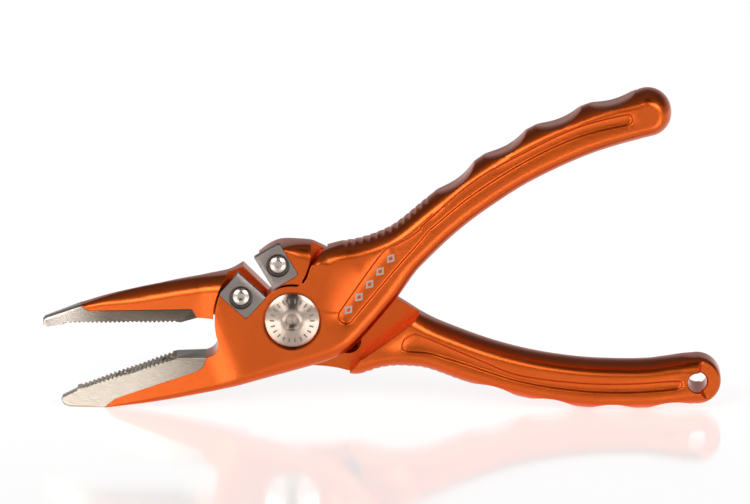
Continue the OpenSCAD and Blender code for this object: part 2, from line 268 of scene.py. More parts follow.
def nearest(points: np.ndarray, loop: np.ndarray) -> tuple[np.ndarray, np.ndarray, np.ndarray]:
    """Finds the nearest place on a closed loop.

    Args:
        points: Rows of [x, z].
        loop: The loop's rows of [x, z].

    Returns:
        For each point the distance, the index of the nearest side, and how far along it.
    """
    a = loop
    run = np.roll(loop, -1, 0) - a
    size = np.maximum(np.sum(run * run, axis=1), 1e-12)
    distance = np.empty(len(points))
    side = np.empty(len(points), int)
    share = np.empty(len(points))
    for first in range(0, len(points), 4000):
        p = points[first : first + 4000]
        t = np.clip(((p[:, None] - a[None]) * run[None]).sum(2) / size[None], 0, 1)
        gap = np.linalg.norm(p[:, None] - (a[None] + t[..., None] * run[None]), axis=2)
        best = gap.argmin(1)
        rows = np.arange(len(p))
        distance[first : first + 4000] = gap[rows, best]
        side[first : first + 4000] = best
        share[first : first + 4000] = t[rows, best]
    return distance, side, share


def triangulate(lines: Sequence[tuple[np.ndarray, bool]]) -> tuple[np.ndarray, np.ndarray]:
    """Triangulates the plane along lines.

    Args:
        lines: Pairs of rows of [x, z] and whether the line is closed.

    Returns:
        The points and the triangles between them.
    """
    points: list[Vector] = []
    edges: list[tuple[int, int]] = []
    for rows, closed in lines:
        first = len(points)
        points += [Vector((float(p[0]), float(p[1]))) for p in rows]
        edges += [(first + i, first + i + 1) for i in range(len(rows) - 1)]
        if closed:
            edges.append((first + len(rows) - 1, first))
    out = delaunay_2d_cdt(points, edges, [], 0, 1e-6, False)
    return np.array([p[:] for p in out[0]], float), np.array(out[2], int)


def region_loops(add: Sequence[np.ndarray], remove: Sequence[np.ndarray]) -> list[np.ndarray]:
    """Joins some loops and cuts others away.

    Args:
        add: Closed loops whose areas are joined.
        remove: Closed loops whose areas are cut away.

    Returns:
        The closed loops round what is left.
    """
    points, triangles = triangulate([(loop, True) for loop in [*add, *remove]])
    middle = points[triangles].mean(1)
    keep = np.zeros(len(triangles), bool)
    for loop in add:
        keep |= inside(middle, loop)
    for loop in remove:
        keep &= ~inside(middle, loop)
    follow: dict[int, list[int]] = {}
    used = {(int(t[k]), int(t[(k + 1) % 3])) for t in triangles[keep] for k in range(3)}
    for a, b in used:
        if (b, a) not in used:
            follow.setdefault(a, []).append(b)
    loops = []
    while follow:
        start = next(iter(follow))
        line, here = [start], start
        while True:
            onward = follow[here].pop()
            if not follow[here]:
                del follow[here]
            if onward == start or onward not in follow:
                break
            line.append(onward)
            here = onward
        if len(line) > 2:
            loops.append(points[line])
    return loops


# Solids milled from plate ----------------------------------------------------------------------


@dataclass
class Cut:
    """An area milled into a blank.

    Attributes:
        loops: The closed loops round the area.
        face: The face that it is milled from.
        level: The height of its floor above the blank's middle, or a function of [x, z] rows.
        lip: The width of the chamfer round it.
        slope: The width of its wall, which runs down in a soft S, or 0 for an upright wall.
        sunk: How far its floor lies below the rounded face, used instead of the level unless 0.
    """

    loops: list[np.ndarray]
    face: Face
    level: float | Surface = 0.0
    lip: float = SMALL_LIP
    slope: float = 0.0
    sunk: float = 0.0

    def __post_init__(self) -> None:
        """Turns a lone loop the right way round."""
        if len(self.loops) == 1 and area_of(self.loops[0]) < 0:
            self.loops = [self.loops[0][::-1]]

    def covers(self, points: np.ndarray) -> np.ndarray:
        """Tells which points lie in the area, by the even-odd rule over its loops."""
        found = np.zeros(len(points), bool)
        for loop in self.loops:
            found ^= inside(points, loop)
        return found

    def floor(self, points: np.ndarray) -> np.ndarray:
        """The floor's height at each point."""
        if callable(self.level):
            return self.level(points)
        return np.full(len(points), float(self.level))

    def sink(self, points: np.ndarray) -> np.ndarray:
        """The share of the way down to the floor that the wall has reached at each point."""
        if self.slope <= 0:
            return np.ones(len(points))
        gap = np.min([nearest(points, loop)[0] for loop in self.loops], axis=0)
        way = np.clip(gap / self.slope, 0, 1)
        return way * way * (3 - 2 * way)

    def drop(self, points: np.ndarray) -> np.ndarray:
        """How far the chamfer lowers the surface round the area at each point."""
        fall = np.zeros(len(points))
        for loop in self.loops if self.lip > 0 else []:
            low, high = loop.min(0) - self.lip, loop.max(0) + self.lip
            near = np.flatnonzero(np.all((points >= low) & (points <= high), axis=1))
            if len(near):
                gap = nearest(points[near], loop)[0]
                fall[near] = np.maximum(fall[near], self.lip - gap)
        fall[fall < FLAT_TOLERANCE] = 0.0
        return fall


@dataclass
class Blank:
    """A piece of plate with rounded edges, and the cuts milled into both its faces.

    Attributes:
        outline: Rows of [x, z, w], where w is the share of the edge rounding; over 1 the
            rounding grows deeper and a little narrower.
        front: The front face's height above the middle, as a function of [x, z] rows.
        back: The back face's height above the middle.
        rounding: The radius that the outer edges are rounded to where w is 1.
        least_round: The radius of an edge where w is 0.
        cuts: What is milled away.
        creases: Extra lines that the faces bend along.
        steps: How many steps the rounding has.
    """

    outline: np.ndarray
    front: Surface
    back: Surface
    rounding: float = EDGE_ROUND
    least_round: float = 0.14
    cuts: list[Cut] = field(default_factory=list)
    creases: list[np.ndarray] = field(default_factory=list)
    steps: int = 8

    def __post_init__(self) -> None:
        """Drops repeated outline points."""
        edge = self.outline[:, :2]
        self.outline = self.outline[np.linalg.norm(np.roll(edge, -1, 0) - edge, axis=1) > 1e-6]

    def radii(self) -> np.ndarray:
        """Rows of the rounding's width and depth at each point of the outline."""
        edge, share = self.outline[:, :2], self.outline[:, 2]
        room = np.minimum(self.front(edge), self.back(edge))
        wide = np.interp(share, [0, 1, 1.2, 1.75], [0, 1, 0.92, 0.9])
        found = []
        for size, most in ((wide, 0.9), (share, 0.985)):
            radius = np.maximum(self.rounding * size, self.least_round)
            found.append(np.minimum(radius, np.maximum(most * room, self.least_round)))
        return np.column_stack(found)

    def lines(self, radius: np.ndarray) -> list[tuple[np.ndarray, bool]]:
        """Every line that the faces bend or break along, and whether it is closed."""
        edge = self.outline[:, :2]
        normals = inward_normals(edge)
        found = [(edge, True)]
        angles = np.linspace(0, math.pi / 2, self.steps + 1)[1:]
        for angle in angles:
            found.append((edge + normals * (radius * (1 - math.cos(angle)))[:, None], True))
        support = radius + np.minimum(0.25, radius)
        found.append((edge + normals * support[:, None], True))
        for cut in self.cuts:
            for loop in cut.loops:
                found.append((loop, True))
                way = 1.0 if area_of(loop) > 0 else -1.0
                if cut.lip > 0:
                    found.append((grown(loop, way * cut.lip), True))
                for part in (0.2, 0.4, 0.6, 0.8, 1.0) if cut.slope > 0 else ():
                    found.append((grown(loop, -way * part * cut.slope), True))
        return found + [(line, False) for line in self.creases]

    def heights(
        self, points: np.ndarray, triangles: np.ndarray, radius: np.ndarray, face: Face
    ) -> np.ndarray:
        """Works out one face's height at each corner of each triangle.

        Args:
            points: Rows of [x, z].
            triangles: Rows of three point numbers.
            radius: The edge rounding's width and depth at each point of the outline.
            face: FRONT or BACK.

        Returns:
            Rows of three heights above the blank's middle.
        """
        surface = self.front if face is Face.FRONT else self.back
        gap, side, share = nearest(points, self.outline[:, :2])
        share = share[:, None]
        here = radius[side] * (1 - share) + radius[(side + 1) % len(radius)] * share
        reach = np.clip(gap / here[:, 0], 0, 1)
        base = surface(points) - here[:, 1] * (1 - np.sqrt(1 - (1 - reach) ** 2))
        level = base[triangles]
        middle = points[triangles].mean(1)
        for cut in self.cuts:
            if cut.face not in (face, Face.THROUGH):
                continue
            within = cut.covers(middle)
            fall = cut.drop(points)[triangles]
            floor = (base - cut.sunk if cut.sunk else cut.floor(points))[triangles]
            through = cut.face is Face.THROUGH
            lowest = level - fall if through else np.minimum(level, floor)
            lowest = level - (level - lowest) * cut.sink(points)[triangles]
            lipped = np.maximum(level - fall, lowest)
            level = np.where(within[:, None], lowest if not through else level, lipped)
        return level

    def solid(self) -> tuple[np.ndarray, list[list[int]]]:
        """Builds the closed shell.

        Returns:
            Rows of [x, y, z] in millimetres, with the blank's middle at y = 0, and the faces.
        """
        radius = self.radii()
        points, triangles = triangulate(self.lines(radius[:, 0]))
        middle = points[triangles].mean(1)
        keep = inside(middle, self.outline[:, :2])
        for cut in self.cuts:
            if cut.face is Face.THROUGH:
                keep &= ~cut.covers(middle)
        triangles = triangles[keep]
        fronts = -self.heights(points, triangles, radius, Face.FRONT)
        backs = self.heights(points, triangles, radius, Face.BACK)
        corners = np.concatenate([triangles.ravel(), triangles.ravel()])
        depth = np.round(np.concatenate([fronts.ravel(), backs.ravel()]), 6)
        spots, number = np.unique(np.column_stack([corners, depth]), axis=0, return_inverse=True)
        number = number.ravel()
        count = triangles.size
        front_ids = number[:count].reshape(-1, 3)
        back_ids = number[count:].reshape(-1, 3)
        faces = [list(map(int, t)) for t in front_ids] + [list(map(int, t[::-1])) for t in back_ids]
        faces += self.walls(triangles, front_ids, back_ids, spots)
        place = points[spots[:, 0].astype(int)]
        return np.column_stack([place[:, 0], spots[:, 1], place[:, 1]]), faces

    @staticmethod
    def walls(
        triangles: np.ndarray, front_ids: np.ndarray, back_ids: np.ndarray, spots: np.ndarray
    ) -> list[list[int]]:
        """Closes the steps between levels and the rim with upright walls.

        Args:
            triangles: Rows of three point numbers.
            front_ids: The vertex of each front corner.
            back_ids: The vertex of each back corner.
            spots: Rows of [point number, depth], sorted, one for each vertex.

        Returns:
            The walls as lists of vertex numbers.
        """
        column: dict[int, list[int]] = {}
        for vertex, point in enumerate(spots[:, 0].astype(int)):
            column.setdefault(int(point), []).append(vertex)
        sides: dict[tuple[int, int], list[tuple[int, int, int, int]]] = {}
        for t, tri in enumerate(triangles):
            for k in range(3):
                j = (k + 1) % 3
                a, b = int(tri[k]), int(tri[j])
                row = (int(front_ids[t, k]), int(front_ids[t, j]), int(back_ids[t, k]), int(back_ids[t, j]))
                if a > b:
                    a, b = b, a
                    row = (row[1], row[0], row[3], row[2])
                sides.setdefault((a, b), []).append(row)
        walls = []

        def wall(a: int, b: int, a0: int, a1: int, b0: int, b1: int) -> None:
            """Adds the wall between two heights at point a and two at point b."""
            up = [v for v in column[a] if min(a0, a1) <= v <= max(a0, a1)]
            down = [v for v in column[b] if min(b0, b1) <= v <= max(b0, b1)]
            ring = up + down[::-1]
            if len(ring) > 2:
                walls.append(ring)

        for (a, b), rows in sides.items():
            if len(rows) == 1:
                fa, fb, ba, bb = rows[0]
                wall(a, b, fa, ba, fb, bb)
                continue
            one, two = rows[0], rows[1]
            if one[:2] != two[:2]:
                wall(a, b, one[0], two[0], one[1], two[1])
            if one[2:] != two[2:]:
                wall(a, b, one[2], two[2], one[3], two[3])
        return walls


# Meshes and pieces -----------------------------------------------------------------------------


def at_rest(points: np.ndarray, tilt: float) -> np.ndarray:
    """Turns [x, y, z] rows about the pivot from the closed to the rest position."""
    c, s = math.cos(tilt), math.sin(tilt)
    x, z = points[:, 0], points[:, 2]
    return np.column_stack([x * c - z * s, points[:, 1], x * s + z * c])


def make_mesh(name: str, points: np.ndarray, faces: Sequence[Sequence[int]]) -> bpy.types.Mesh:
    """Makes a closed mesh with outward normals, in metres.

    Args:
        name: The mesh's name.
        points: Rows of [x, y, z] in millimetres.
        faces: Lists of row numbers.

    Returns:
        The mesh.
    """
    mesh = bpy.data.meshes.new(name)
    mesh.from_pydata((points * MM).tolist(), [], [list(f) for f in faces])
    tidy_mesh(mesh)
    return mesh


def tidy_mesh(mesh: bpy.types.Mesh, sharp: float = 30.0) -> None:
    """Merges doubles, turns the faces outwards and shades them smooth but for sharp edges."""
    bm = bmesh.new()
    bm.from_mesh(mesh)
    bmesh.ops.remove_doubles(bm, verts=bm.verts, dist=2e-8)
    bmesh.ops.recalc_face_normals(bm, faces=bm.faces)
    loose = sum(1 for e in bm.edges if not e.is_manifold)
    if loose:
        LOG.warning("%s has %d edges that aren't manifold", mesh.name, loose)
    bm.to_mesh(mesh)
    bm.free()
    mesh.shade_smooth()
    mesh.set_sharp_from_angle(angle=math.radians(sharp))


def placed(name: str, data: bpy.types.ID) -> bpy.types.Object:
    """Makes an object of a data block and links it to the scene."""
    obj = bpy.data.objects.new(name, data)
    bpy.context.scene.collection.objects.link(obj)
    return obj


def prism(name: str, rows: Sequence[Sequence[float]]) -> bpy.types.Mesh:
    """A closed prism in metres, from the corners of its first end and then of its second."""
    count = len(rows) // 2
    faces = [list(range(count)), list(range(count, 2 * count))[::-1]]
    faces += [[i, (i + 1) % count, count + (i + 1) % count, count + i] for i in range(count)]
    return make_mesh(name, np.array(rows), faces)


def new_piece(
    name: str,
    mesh: bpy.types.Mesh,
    body: Body,
    material: bpy.types.Material,
    nodes: Sequence[str] = (),
) -> bpy.types.Object:
    """Adds a finished piece to the scene.

    Args:
        name: The piece's name.
        mesh: Its mesh, in place, in metres.
        body: The body that it moves with.
        material: Its material.
        nodes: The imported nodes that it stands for.

    Returns:
        The new object.
    """
    mesh.name = name
    piece = placed(name, mesh)
    if not mesh.materials:
        mesh.materials.append(material)
    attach(piece, body.value)
    if nodes:
        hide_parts(*nodes)
    LOG.info("%s: %d vertices, %d faces", name, len(mesh.vertices), len(mesh.polygons))
    return piece


def cut_away(mesh: bpy.types.Mesh, cutters: Sequence[bpy.types.Mesh]) -> bpy.types.Mesh:
    """Cuts solids out of a solid.

    Args:
        mesh: What is cut.
        cutters: The closed meshes that are taken away, one after the other.

    Returns:
        A new mesh.
    """
    work = placed("work", mesh)
    tools = []
    for cutter in cutters:
        tool = placed("tool", cutter)
        tools.append(tool)
        step = work.modifiers.new("cut", "BOOLEAN")
        step.operation = "DIFFERENCE"
        step.solver = "EXACT"
        step.object = tool
    result = baked(work)
    for obj in [work, *tools]:
        bpy.data.objects.remove(obj)
    return result


def baked(obj: bpy.types.Object) -> bpy.types.Mesh:
    """The plain mesh of an object with its modifiers applied."""
    bpy.context.view_layer.update()
    graph = bpy.context.evaluated_depsgraph_get()
    return bpy.data.meshes.new_from_object(
        obj.evaluated_get(graph), preserve_all_data_layers=True, depsgraph=graph
    )


def add_node(
    tree: bpy.types.NodeTree, kind: str, inputs: dict | None = None, **settings: object
) -> bpy.types.Node:
    """Adds a node with its settings and links.

    Args:
        tree: The node tree.
        kind: The node's type name.
        inputs: For each input, by name or number, a value or the output that feeds it.
        settings: The node's own properties.

    Returns:
        The new node.
    """
    node = tree.nodes.new(kind)
    for key, value in settings.items():
        setattr(node, key, value)
    for key, value in (inputs or {}).items():
        if isinstance(value, bpy.types.NodeSocket):
            tree.links.new(value, node.inputs[key])
        else:
            node.inputs[key].default_value = value
    return node


def linear(code: str, alpha: float = 1.0) -> tuple[float, float, float, float]:
    """Turns an sRGB hex colour, such as d2601f, to linear light."""
    parts = [int(code[i : i + 2], 16) / 255 for i in (0, 2, 4)]
    line = [p / 12.92 if p <= 0.04045 else ((p + 0.055) / 1.055) ** 2.4 for p in parts]
    return (line[0], line[1], line[2], alpha)


def node_group(name: str, sizes: dict[str, tuple[str, object]]) -> bpy.types.NodeTree:
    """Starts a Geometry Nodes tree.

    Args:
        name: The tree's name.
        sizes: For each named input its socket type and its default.

    Returns:
        The tree, with its Group Input and Group Output nodes.
    """
    tree = bpy.data.node_groups.new(name, "GeometryNodeTree")
    tree.interface.new_socket("Geometry", in_out="OUTPUT", socket_type="NodeSocketGeometry")
    for label, (kind, value) in sizes.items():
        socket = tree.interface.new_socket(label, in_out="INPUT", socket_type=kind)
        if value is not None:
            socket.default_value = value
    tree.nodes.new("NodeGroupInput")
    tree.nodes.new("NodeGroupOutput")
    return tree


def grow(tree: bpy.types.NodeTree, values: dict[str, object]) -> bpy.types.Mesh:
    """Runs a Geometry Nodes tree once and keeps its mesh.

    Args:
        tree: The tree.
        values: Values for its named inputs.

    Returns:
        The mesh that it makes.
    """
    host = placed("host", bpy.data.meshes.new("host"))
    modifier = host.modifiers.new("grow", "NODES")
    modifier.node_group = tree
    for item in tree.interface.items_tree:
        if item.item_type == "SOCKET" and item.in_out == "INPUT" and item.name in values:
            modifier[item.identifier] = values[item.name]
    result = baked(host)
    host.modifiers.remove(modifier)
    bpy.data.objects.remove(host)
    return result


def repeated(tree: bpy.types.NodeTree, shape: bpy.types.Mesh, values: dict[str, object]) -> bpy.types.Mesh:
    """Runs a tree that repeats a shape, and keeps the mesh.

    Args:
        tree: The tree, with an input named Shape.
        shape: The shape's mesh.
        values: Values for the tree's other inputs.

    Returns:
        The mesh that it makes.
    """
    source = placed("shape", shape)
    mesh = grow(tree, {"Shape": source, **values})
    bpy.data.objects.remove(source)
    return mesh


def dress(tree: bpy.types.NodeTree, geometry: bpy.types.NodeSocket) -> None:
    """Ends a tree: makes its instances real and gives them the Finish input's material."""
    given = tree.nodes["Group Input"].outputs
    real = add_node(tree, "GeometryNodeRealizeInstances", {"Geometry": geometry})
    dressed = add_node(
        tree, "GeometryNodeSetMaterial", {"Geometry": real.outputs[0], "Material": given["Finish"]}
    )
    tree.links.new(dressed.outputs[0], tree.nodes["Group Output"].inputs[0])


def row_tree() -> bpy.types.NodeTree:
    """A row of one shape: teeth grooves, screws or marks at a fixed spacing."""
    tree = node_group(
        "row of pieces",
        {
            "Shape": ("NodeSocketObject", None),
            "Count": ("NodeSocketInt", 2),
            "Start": ("NodeSocketVector", (0.0, 0.0, 0.0)),
            "Spacing": ("NodeSocketVector", (0.001, 0.0, 0.0)),
            "Finish": ("NodeSocketMaterial", None),
        },
    )
    given = tree.nodes["Group Input"].outputs
    line = add_node(
        tree,
        "GeometryNodeMeshLine",
        {"Count": given["Count"], "Start Location": given["Start"], "Offset": given["Spacing"]},
        mode="OFFSET",
    )
    shape = add_node(tree, "GeometryNodeObjectInfo", {"Object": given["Shape"]})
    spread = add_node(
        tree,
        "GeometryNodeInstanceOnPoints",
        {"Points": line.outputs["Mesh"], "Instance": shape.outputs["Geometry"]},
    )
    dress(tree, spread.outputs[0])
    return tree


def ring_tree() -> bpy.types.NodeTree:
    """A ring of one shape round the Y axis, each turned to face outwards."""
    tree = node_group(
        "ring of pieces",
        {
            "Shape": ("NodeSocketObject", None),
            "Count": ("NodeSocketInt", 24),
            "Radius": ("NodeSocketFloat", 0.005),
            "Depth": ("NodeSocketFloat", 0.0),
            "Finish": ("NodeSocketMaterial", None),
        },
    )
    given = tree.nodes["Group Input"].outputs
    circle = add_node(
        tree,
        "GeometryNodeCurvePrimitiveCircle",
        {"Resolution": given["Count"], "Radius": given["Radius"]},
    )
    spots = add_node(
        tree,
        "GeometryNodeCurveToPoints",
        {"Curve": circle.outputs["Curve"]},
        mode="EVALUATED",
    )
    shape = add_node(tree, "GeometryNodeObjectInfo", {"Object": given["Shape"]})
    spread = add_node(
        tree,
        "GeometryNodeInstanceOnPoints",
        {
            "Points": spots.outputs["Points"],
            "Instance": shape.outputs["Geometry"],
            "Rotation": spots.outputs["Rotation"],
        },
    )
    place = add_node(tree, "ShaderNodeCombineXYZ", {"Y": given["Depth"]})
    upright = add_node(
        tree,
        "GeometryNodeTransform",
        {
            "Geometry": spread.outputs[0],
            "Translation": place.outputs[0],
            "Rotation": (math.pi / 2, 0.0, 0.0),
        },
    )
    dress(tree, upright.outputs[0])
    return tree


def coil_tree() -> bpy.types.NodeTree:
    """A compression spring along Z, with its last turn at each end closed flat."""
    tree = node_group(
        "compression spring",
        {
            "Turns": ("NodeSocketFloat", 8.0),
            "Radius": ("NodeSocketFloat", 0.002),
            "Wire": ("NodeSocketFloat", 0.00035),
            "Length": ("NodeSocketFloat", 0.011),
            "Finish": ("NodeSocketMaterial", None),
        },
    )
    given = tree.nodes["Group Input"].outputs
    spiral = add_node(
        tree,
        "GeometryNodeCurveSpiral",
        {
            "Resolution": 36,
            "Rotations": given["Turns"],
            "Start Radius": given["Radius"],
            "End Radius": given["Radius"],
            "Height": 0.0,
        },
    )
    along = add_node(tree, "GeometryNodeSplineParameter")
    rise = add_node(tree, "ShaderNodeFloatCurve", {"Value": along.outputs["Factor"]})
    curve = rise.mapping.curves[0]
    for at, height in ((0.13, 0.062), (0.19, 0.105), (0.81, 0.895), (0.87, 0.938)):
        curve.points.new(at, height)
    rise.mapping.update()
    height = add_node(
        tree,
        "ShaderNodeMath",
        {0: rise.outputs["Value"], 1: given["Length"]},
        operation="MULTIPLY",
    )
    lift = add_node(tree, "ShaderNodeCombineXYZ", {"Z": height.outputs[0]})
    helix = add_node(
        tree,
        "GeometryNodeSetPosition",
        {"Geometry": spiral.outputs["Curve"], "Offset": lift.outputs[0]},
    )
    section = add_node(
        tree, "GeometryNodeCurvePrimitiveCircle", {"Resolution": 12, "Radius": given["Wire"]}
    )
    wire = add_node(
        tree,
        "GeometryNodeCurveToMesh",
        {"Curve": helix.outputs["Geometry"], "Profile Curve": section.outputs["Curve"], "Fill Caps": True},
    )
    dress(tree, wire.outputs[0])
    return tree


# Finishes --------------------------------------------------------------------------------------


def new_material(
    name: str, colour: str, **sockets: float
) -> tuple[bpy.types.Material, bpy.types.NodeTree, bpy.types.Node, bpy.types.NodeSocket]:
    """Starts a material with its shader's own values set.

    Args:
        name: The material's name.
        colour: The base colour as an sRGB hex value.
        sockets: Values of the shader's sockets, with _ for a space.

    Returns:
        The material, its node tree, its Principled shader and the object coordinates.
    """
    material = bpy.data.materials.new(name)
    material.use_nodes = True
    tree = material.node_tree
    shader = tree.nodes["Principled BSDF"]
    shader.inputs["Base Color"].default_value = linear(colour)
    for key, value in sockets.items():
        shader.inputs[key.replace("_", " ")].default_value = value
    place = add_node(tree, "ShaderNodeTexCoord").outputs["Object"]
    return material, tree, shader, place


def noise(
    tree: bpy.types.NodeTree, place: bpy.types.NodeSocket, size: float, detail: float
) -> bpy.types.NodeSocket:
    """Noise with patches of about the given size in metres."""
    values = {"Vector": place, "Scale": 1 / size, "Detail": detail}
    return add_node(tree, "ShaderNodeTexNoise", values).outputs[0]


def drawn_out(
    tree: bpy.types.NodeTree, place: bpy.types.NodeSocket, tilt: float, squeeze: float
) -> bpy.types.NodeSocket:
    """Coordinates squeezed along a half's length, so that noise on them runs out in lines."""
    values = {"Vector": place, "Rotation": (0.0, tilt, 0.0), "Scale": (squeeze, 1.0, 1.0)}
    return add_node(tree, "ShaderNodeMapping", values).outputs[0]


def ranged(
    tree: bpy.types.NodeTree,
    value: bpy.types.NodeSocket,
    given: tuple[float, float],
    wanted: tuple[float, float] = (0.0, 1.0),
    smooth: bool = False,
) -> bpy.types.NodeSocket:
    """Maps a range of values to another.

    Args:
        tree: The node tree.
        value: The output to map.
        given: The range that it has.
        wanted: The range that it gets.
        smooth: Whether the change is eased at both ends.

    Returns:
        The mapped output.
    """
    values = {
        "Value": value, "From Min": given[0], "From Max": given[1],
        "To Min": wanted[0], "To Max": wanted[1],
    }
    way = "SMOOTHSTEP" if smooth else "LINEAR"
    return add_node(tree, "ShaderNodeMapRange", values, interpolation_type=way).outputs[0]


def blend(
    tree: bpy.types.NodeTree, share: bpy.types.NodeSocket, first: object, second: object
) -> bpy.types.NodeSocket:
    """Blends two colours, each a value or an output, by a share from 0 to 1."""
    node = add_node(tree, "ShaderNodeMix", {0: share, 6: first, 7: second}, data_type="RGBA")
    return node.outputs[2]


def raise_bump(
    tree: bpy.types.NodeTree, height: bpy.types.NodeSocket, strength: float, distance: float
) -> None:
    """Gives a material's shader a bump from a pattern, distance metres high."""
    values = {"Height": height, "Strength": strength, "Distance": distance}
    bump = add_node(tree, "ShaderNodeBump", values)
    tree.links.new(bump.outputs[0], tree.nodes["Principled BSDF"].inputs["Normal"])


@dataclass(frozen=True)
class AnodisedAluminium:
    """6061 plate, milled, bead blasted and dyed orange under a clear sealed oxide.

    The blasting breaks reflections into a satin sheen, and the oxide adds a thin clear gloss
    that whitens the edges seen at a low angle.
    """

    name: str
    tilt: float
    colour: str = "d65e1a"
    deep: str = "ca510f"
    roughness: float = 0.3
    patch_m: float = 0.009
    streak_m: float = 0.0007
    grain_m: float = 0.00045  # blasting leaves 0.1 mm pits, drawn coarser so that they show

    def material(self) -> bpy.types.Material:
        """Builds the material."""
        material, tree, shader, place = new_material(
            self.name, self.colour, Metallic=1.0, Coat_Weight=0.2, Coat_Roughness=0.22, Coat_IOR=1.6
        )
        patch = noise(tree, place, self.patch_m, 2.0)
        dye = blend(tree, patch, linear(self.colour), linear(self.deep))
        tree.links.new(dye, shader.inputs["Base Color"])
        streak = noise(tree, drawn_out(tree, place, self.tilt, 0.12), self.streak_m, 3.0)
        grain = noise(tree, place, self.grain_m, 3.0)
        both = add_node(tree, "ShaderNodeMath", {0: streak, 1: grain}, operation="ADD").outputs[0]
        satin = ranged(tree, both, (0.7, 1.3), (self.roughness - 0.03, self.roughness + 0.05))
        tree.links.new(satin, shader.inputs["Roughness"])
        raise_bump(tree, both, 0.06, 0.0002)
        return material


@dataclass(frozen=True)
class BrushedSteel:
    """Stainless steel ground along its length, which drags reflections into fine streaks, with painted
    shade that darkens it from the nose towards the heel.
    """

    name: str
    colour: str
    painted_shade_colour: str
    painted_shade_span: tuple[float, float]
    tilt: float
    roughness: float = 0.3
    scratch_mm: float = 0.22  # a 320 grit belt leaves 0.05 mm lines, drawn coarser so that they show

    def material(self) -> bpy.types.Material:
        """Builds the material."""
        material, tree, shader, place = new_material(self.name, self.colour, Metallic=1.0, Anisotropic=0.75)
        # Light spreads across the lines; the small Y keeps the direction off the upright faces
        across = (-math.sin(self.tilt), 0.12, math.cos(self.tilt))
        spread = add_node(
            tree,
            "ShaderNodeVectorTransform",
            {0: across},
            vector_type="VECTOR",
            convert_from="OBJECT",
            convert_to="WORLD",
        )
        tree.links.new(spread.outputs[0], shader.inputs["Tangent"])
        # Painted shade: the colour darkens along X from the bright nose to the flank, standing in for shade
        # and dim reflections
        along = add_node(tree, "ShaderNodeSeparateXYZ", {0: place}).outputs["X"]
        painted_shade_share = ranged(tree, along, (self.painted_shade_span[0] * MM, self.painted_shade_span[1] * MM), smooth=True)
        tone = blend(tree, painted_shade_share, linear(self.colour), linear(self.painted_shade_colour))
        tree.links.new(tone, shader.inputs["Base Color"])
        lines = noise(tree, drawn_out(tree, place, self.tilt, 0.03), self.scratch_mm * MM, 4.0)
        shade = ranged(tree, lines, (0.35, 0.65), (self.roughness - 0.06, self.roughness + 0.08))
        tree.links.new(shade, shader.inputs["Roughness"])
        raise_bump(tree, lines, 0.12, 0.0001)
        return material


@dataclass(frozen=True)
class GroundCarbide:
    """Tungsten carbide, surface ground: a dull grey with fine parallel lines."""

    name: str
    tilt: float
    colour: str = "857b76"
    roughness: float = 0.42
    line_mm: float = 0.3  # the wheel leaves 0.05 mm lines, drawn coarser so that they show

    def material(self) -> bpy.types.Material:
        """Builds the material."""
        material, tree, shader, place = new_material(self.name, self.colour, Metallic=1.0)
        lines = noise(tree, drawn_out(tree, place, self.tilt, 0.06), self.line_mm * MM, 3.0)
        shade = ranged(tree, lines, (0.3, 0.7), (self.roughness - 0.05, self.roughness + 0.07))
        tree.links.new(shade, shader.inputs["Roughness"])
        raise_bump(tree, lines, 0.08, 0.0001)
        return material


@dataclass(frozen=True)
class TurnedSteel:
    """Stainless steel faced on a lathe, whose rings spread light into two opposite fans."""

    name: str = "turned stainless steel"
    colour: str = "b8a698"
    roughness: float = 0.21
    ring_mm: float = 0.3  # the tool's feed is 0.08 mm, drawn coarser so that the rings show

    def material(self) -> bpy.types.Material:
        """Builds the material."""
        material, tree, shader, place = new_material(
            self.name,
            self.colour,
            Metallic=1.0,
            Roughness=self.roughness,
            Anisotropic=0.92,
            Anisotropic_Rotation=0.25,
        )
        across = add_node(tree, "ShaderNodeMapping", {"Vector": place, "Scale": (1.0, 0.0, 1.0)})
        rings = add_node(
            tree,
            "ShaderNodeTexWave",
            {"Vector": across.outputs[0], "Scale": 0.314 / (self.ring_mm * MM), "Distortion": 0.0},
            wave_type="RINGS",
            rings_direction="SPHERICAL",
        )
        raise_bump(tree, rings.outputs["Fac"], 0.1, 0.00005)
        round_axis = add_node(tree, "ShaderNodeTangent", direction_type="RADIAL", axis="Y")
        tree.links.new(round_axis.outputs[0], shader.inputs["Tangent"])
        return material


@dataclass(frozen=True)
class PlainMetal:
    """A metal with a fine cloudy variation in its polish, for screws, bearings, wire and marks."""

    name: str
    colour: str
    roughness: float
    metallic: float = 1.0
    cloud_mm: float = 0.8

    def material(self) -> bpy.types.Material:
        """Builds the material."""
        material, tree, shader, place = new_material(self.name, self.colour, Metallic=self.metallic)
        cloud = noise(tree, place, self.cloud_mm * MM, 3.0)
        shade = ranged(tree, cloud, (0.3, 0.7), (self.roughness * 0.85, self.roughness * 1.2))
        tree.links.new(shade, shader.inputs["Roughness"])
        return material


# Sub-assemblies --------------------------------------------------------------------------------


def jaw_height(points: np.ndarray) -> np.ndarray:
    """Half the thickness at each [x, z]: full at the plates, and tapering along the jaws."""
    return np.interp(points[:, 0], JAW_X, JAW_HEIGHT)


def jaw_creases() -> list[np.ndarray]:
    """The upright lines that the jaw's taper bends along."""
    return [np.array([[x, -30.0], [x, 30.0]]) for x in JAW_X]


def jaw_round(rows: list[list[float]], middle: float, root: float) -> np.ndarray:
    """Outline rows as an array, with the rounding made smaller towards the jaw tips.

    Args:
        rows: The rows of [x, z, w].
        middle: The share that is kept halfway along the jaw.
        root: The share that is kept at the jaw's root.

    Returns:
        The rows with their new w.
    """
    outline = np.array(rows, float)
    outline[:, 2] *= np.interp(outline[:, 0], [-53, -38, -24, -8], [0.3, middle, root, 1.0])
    return outline


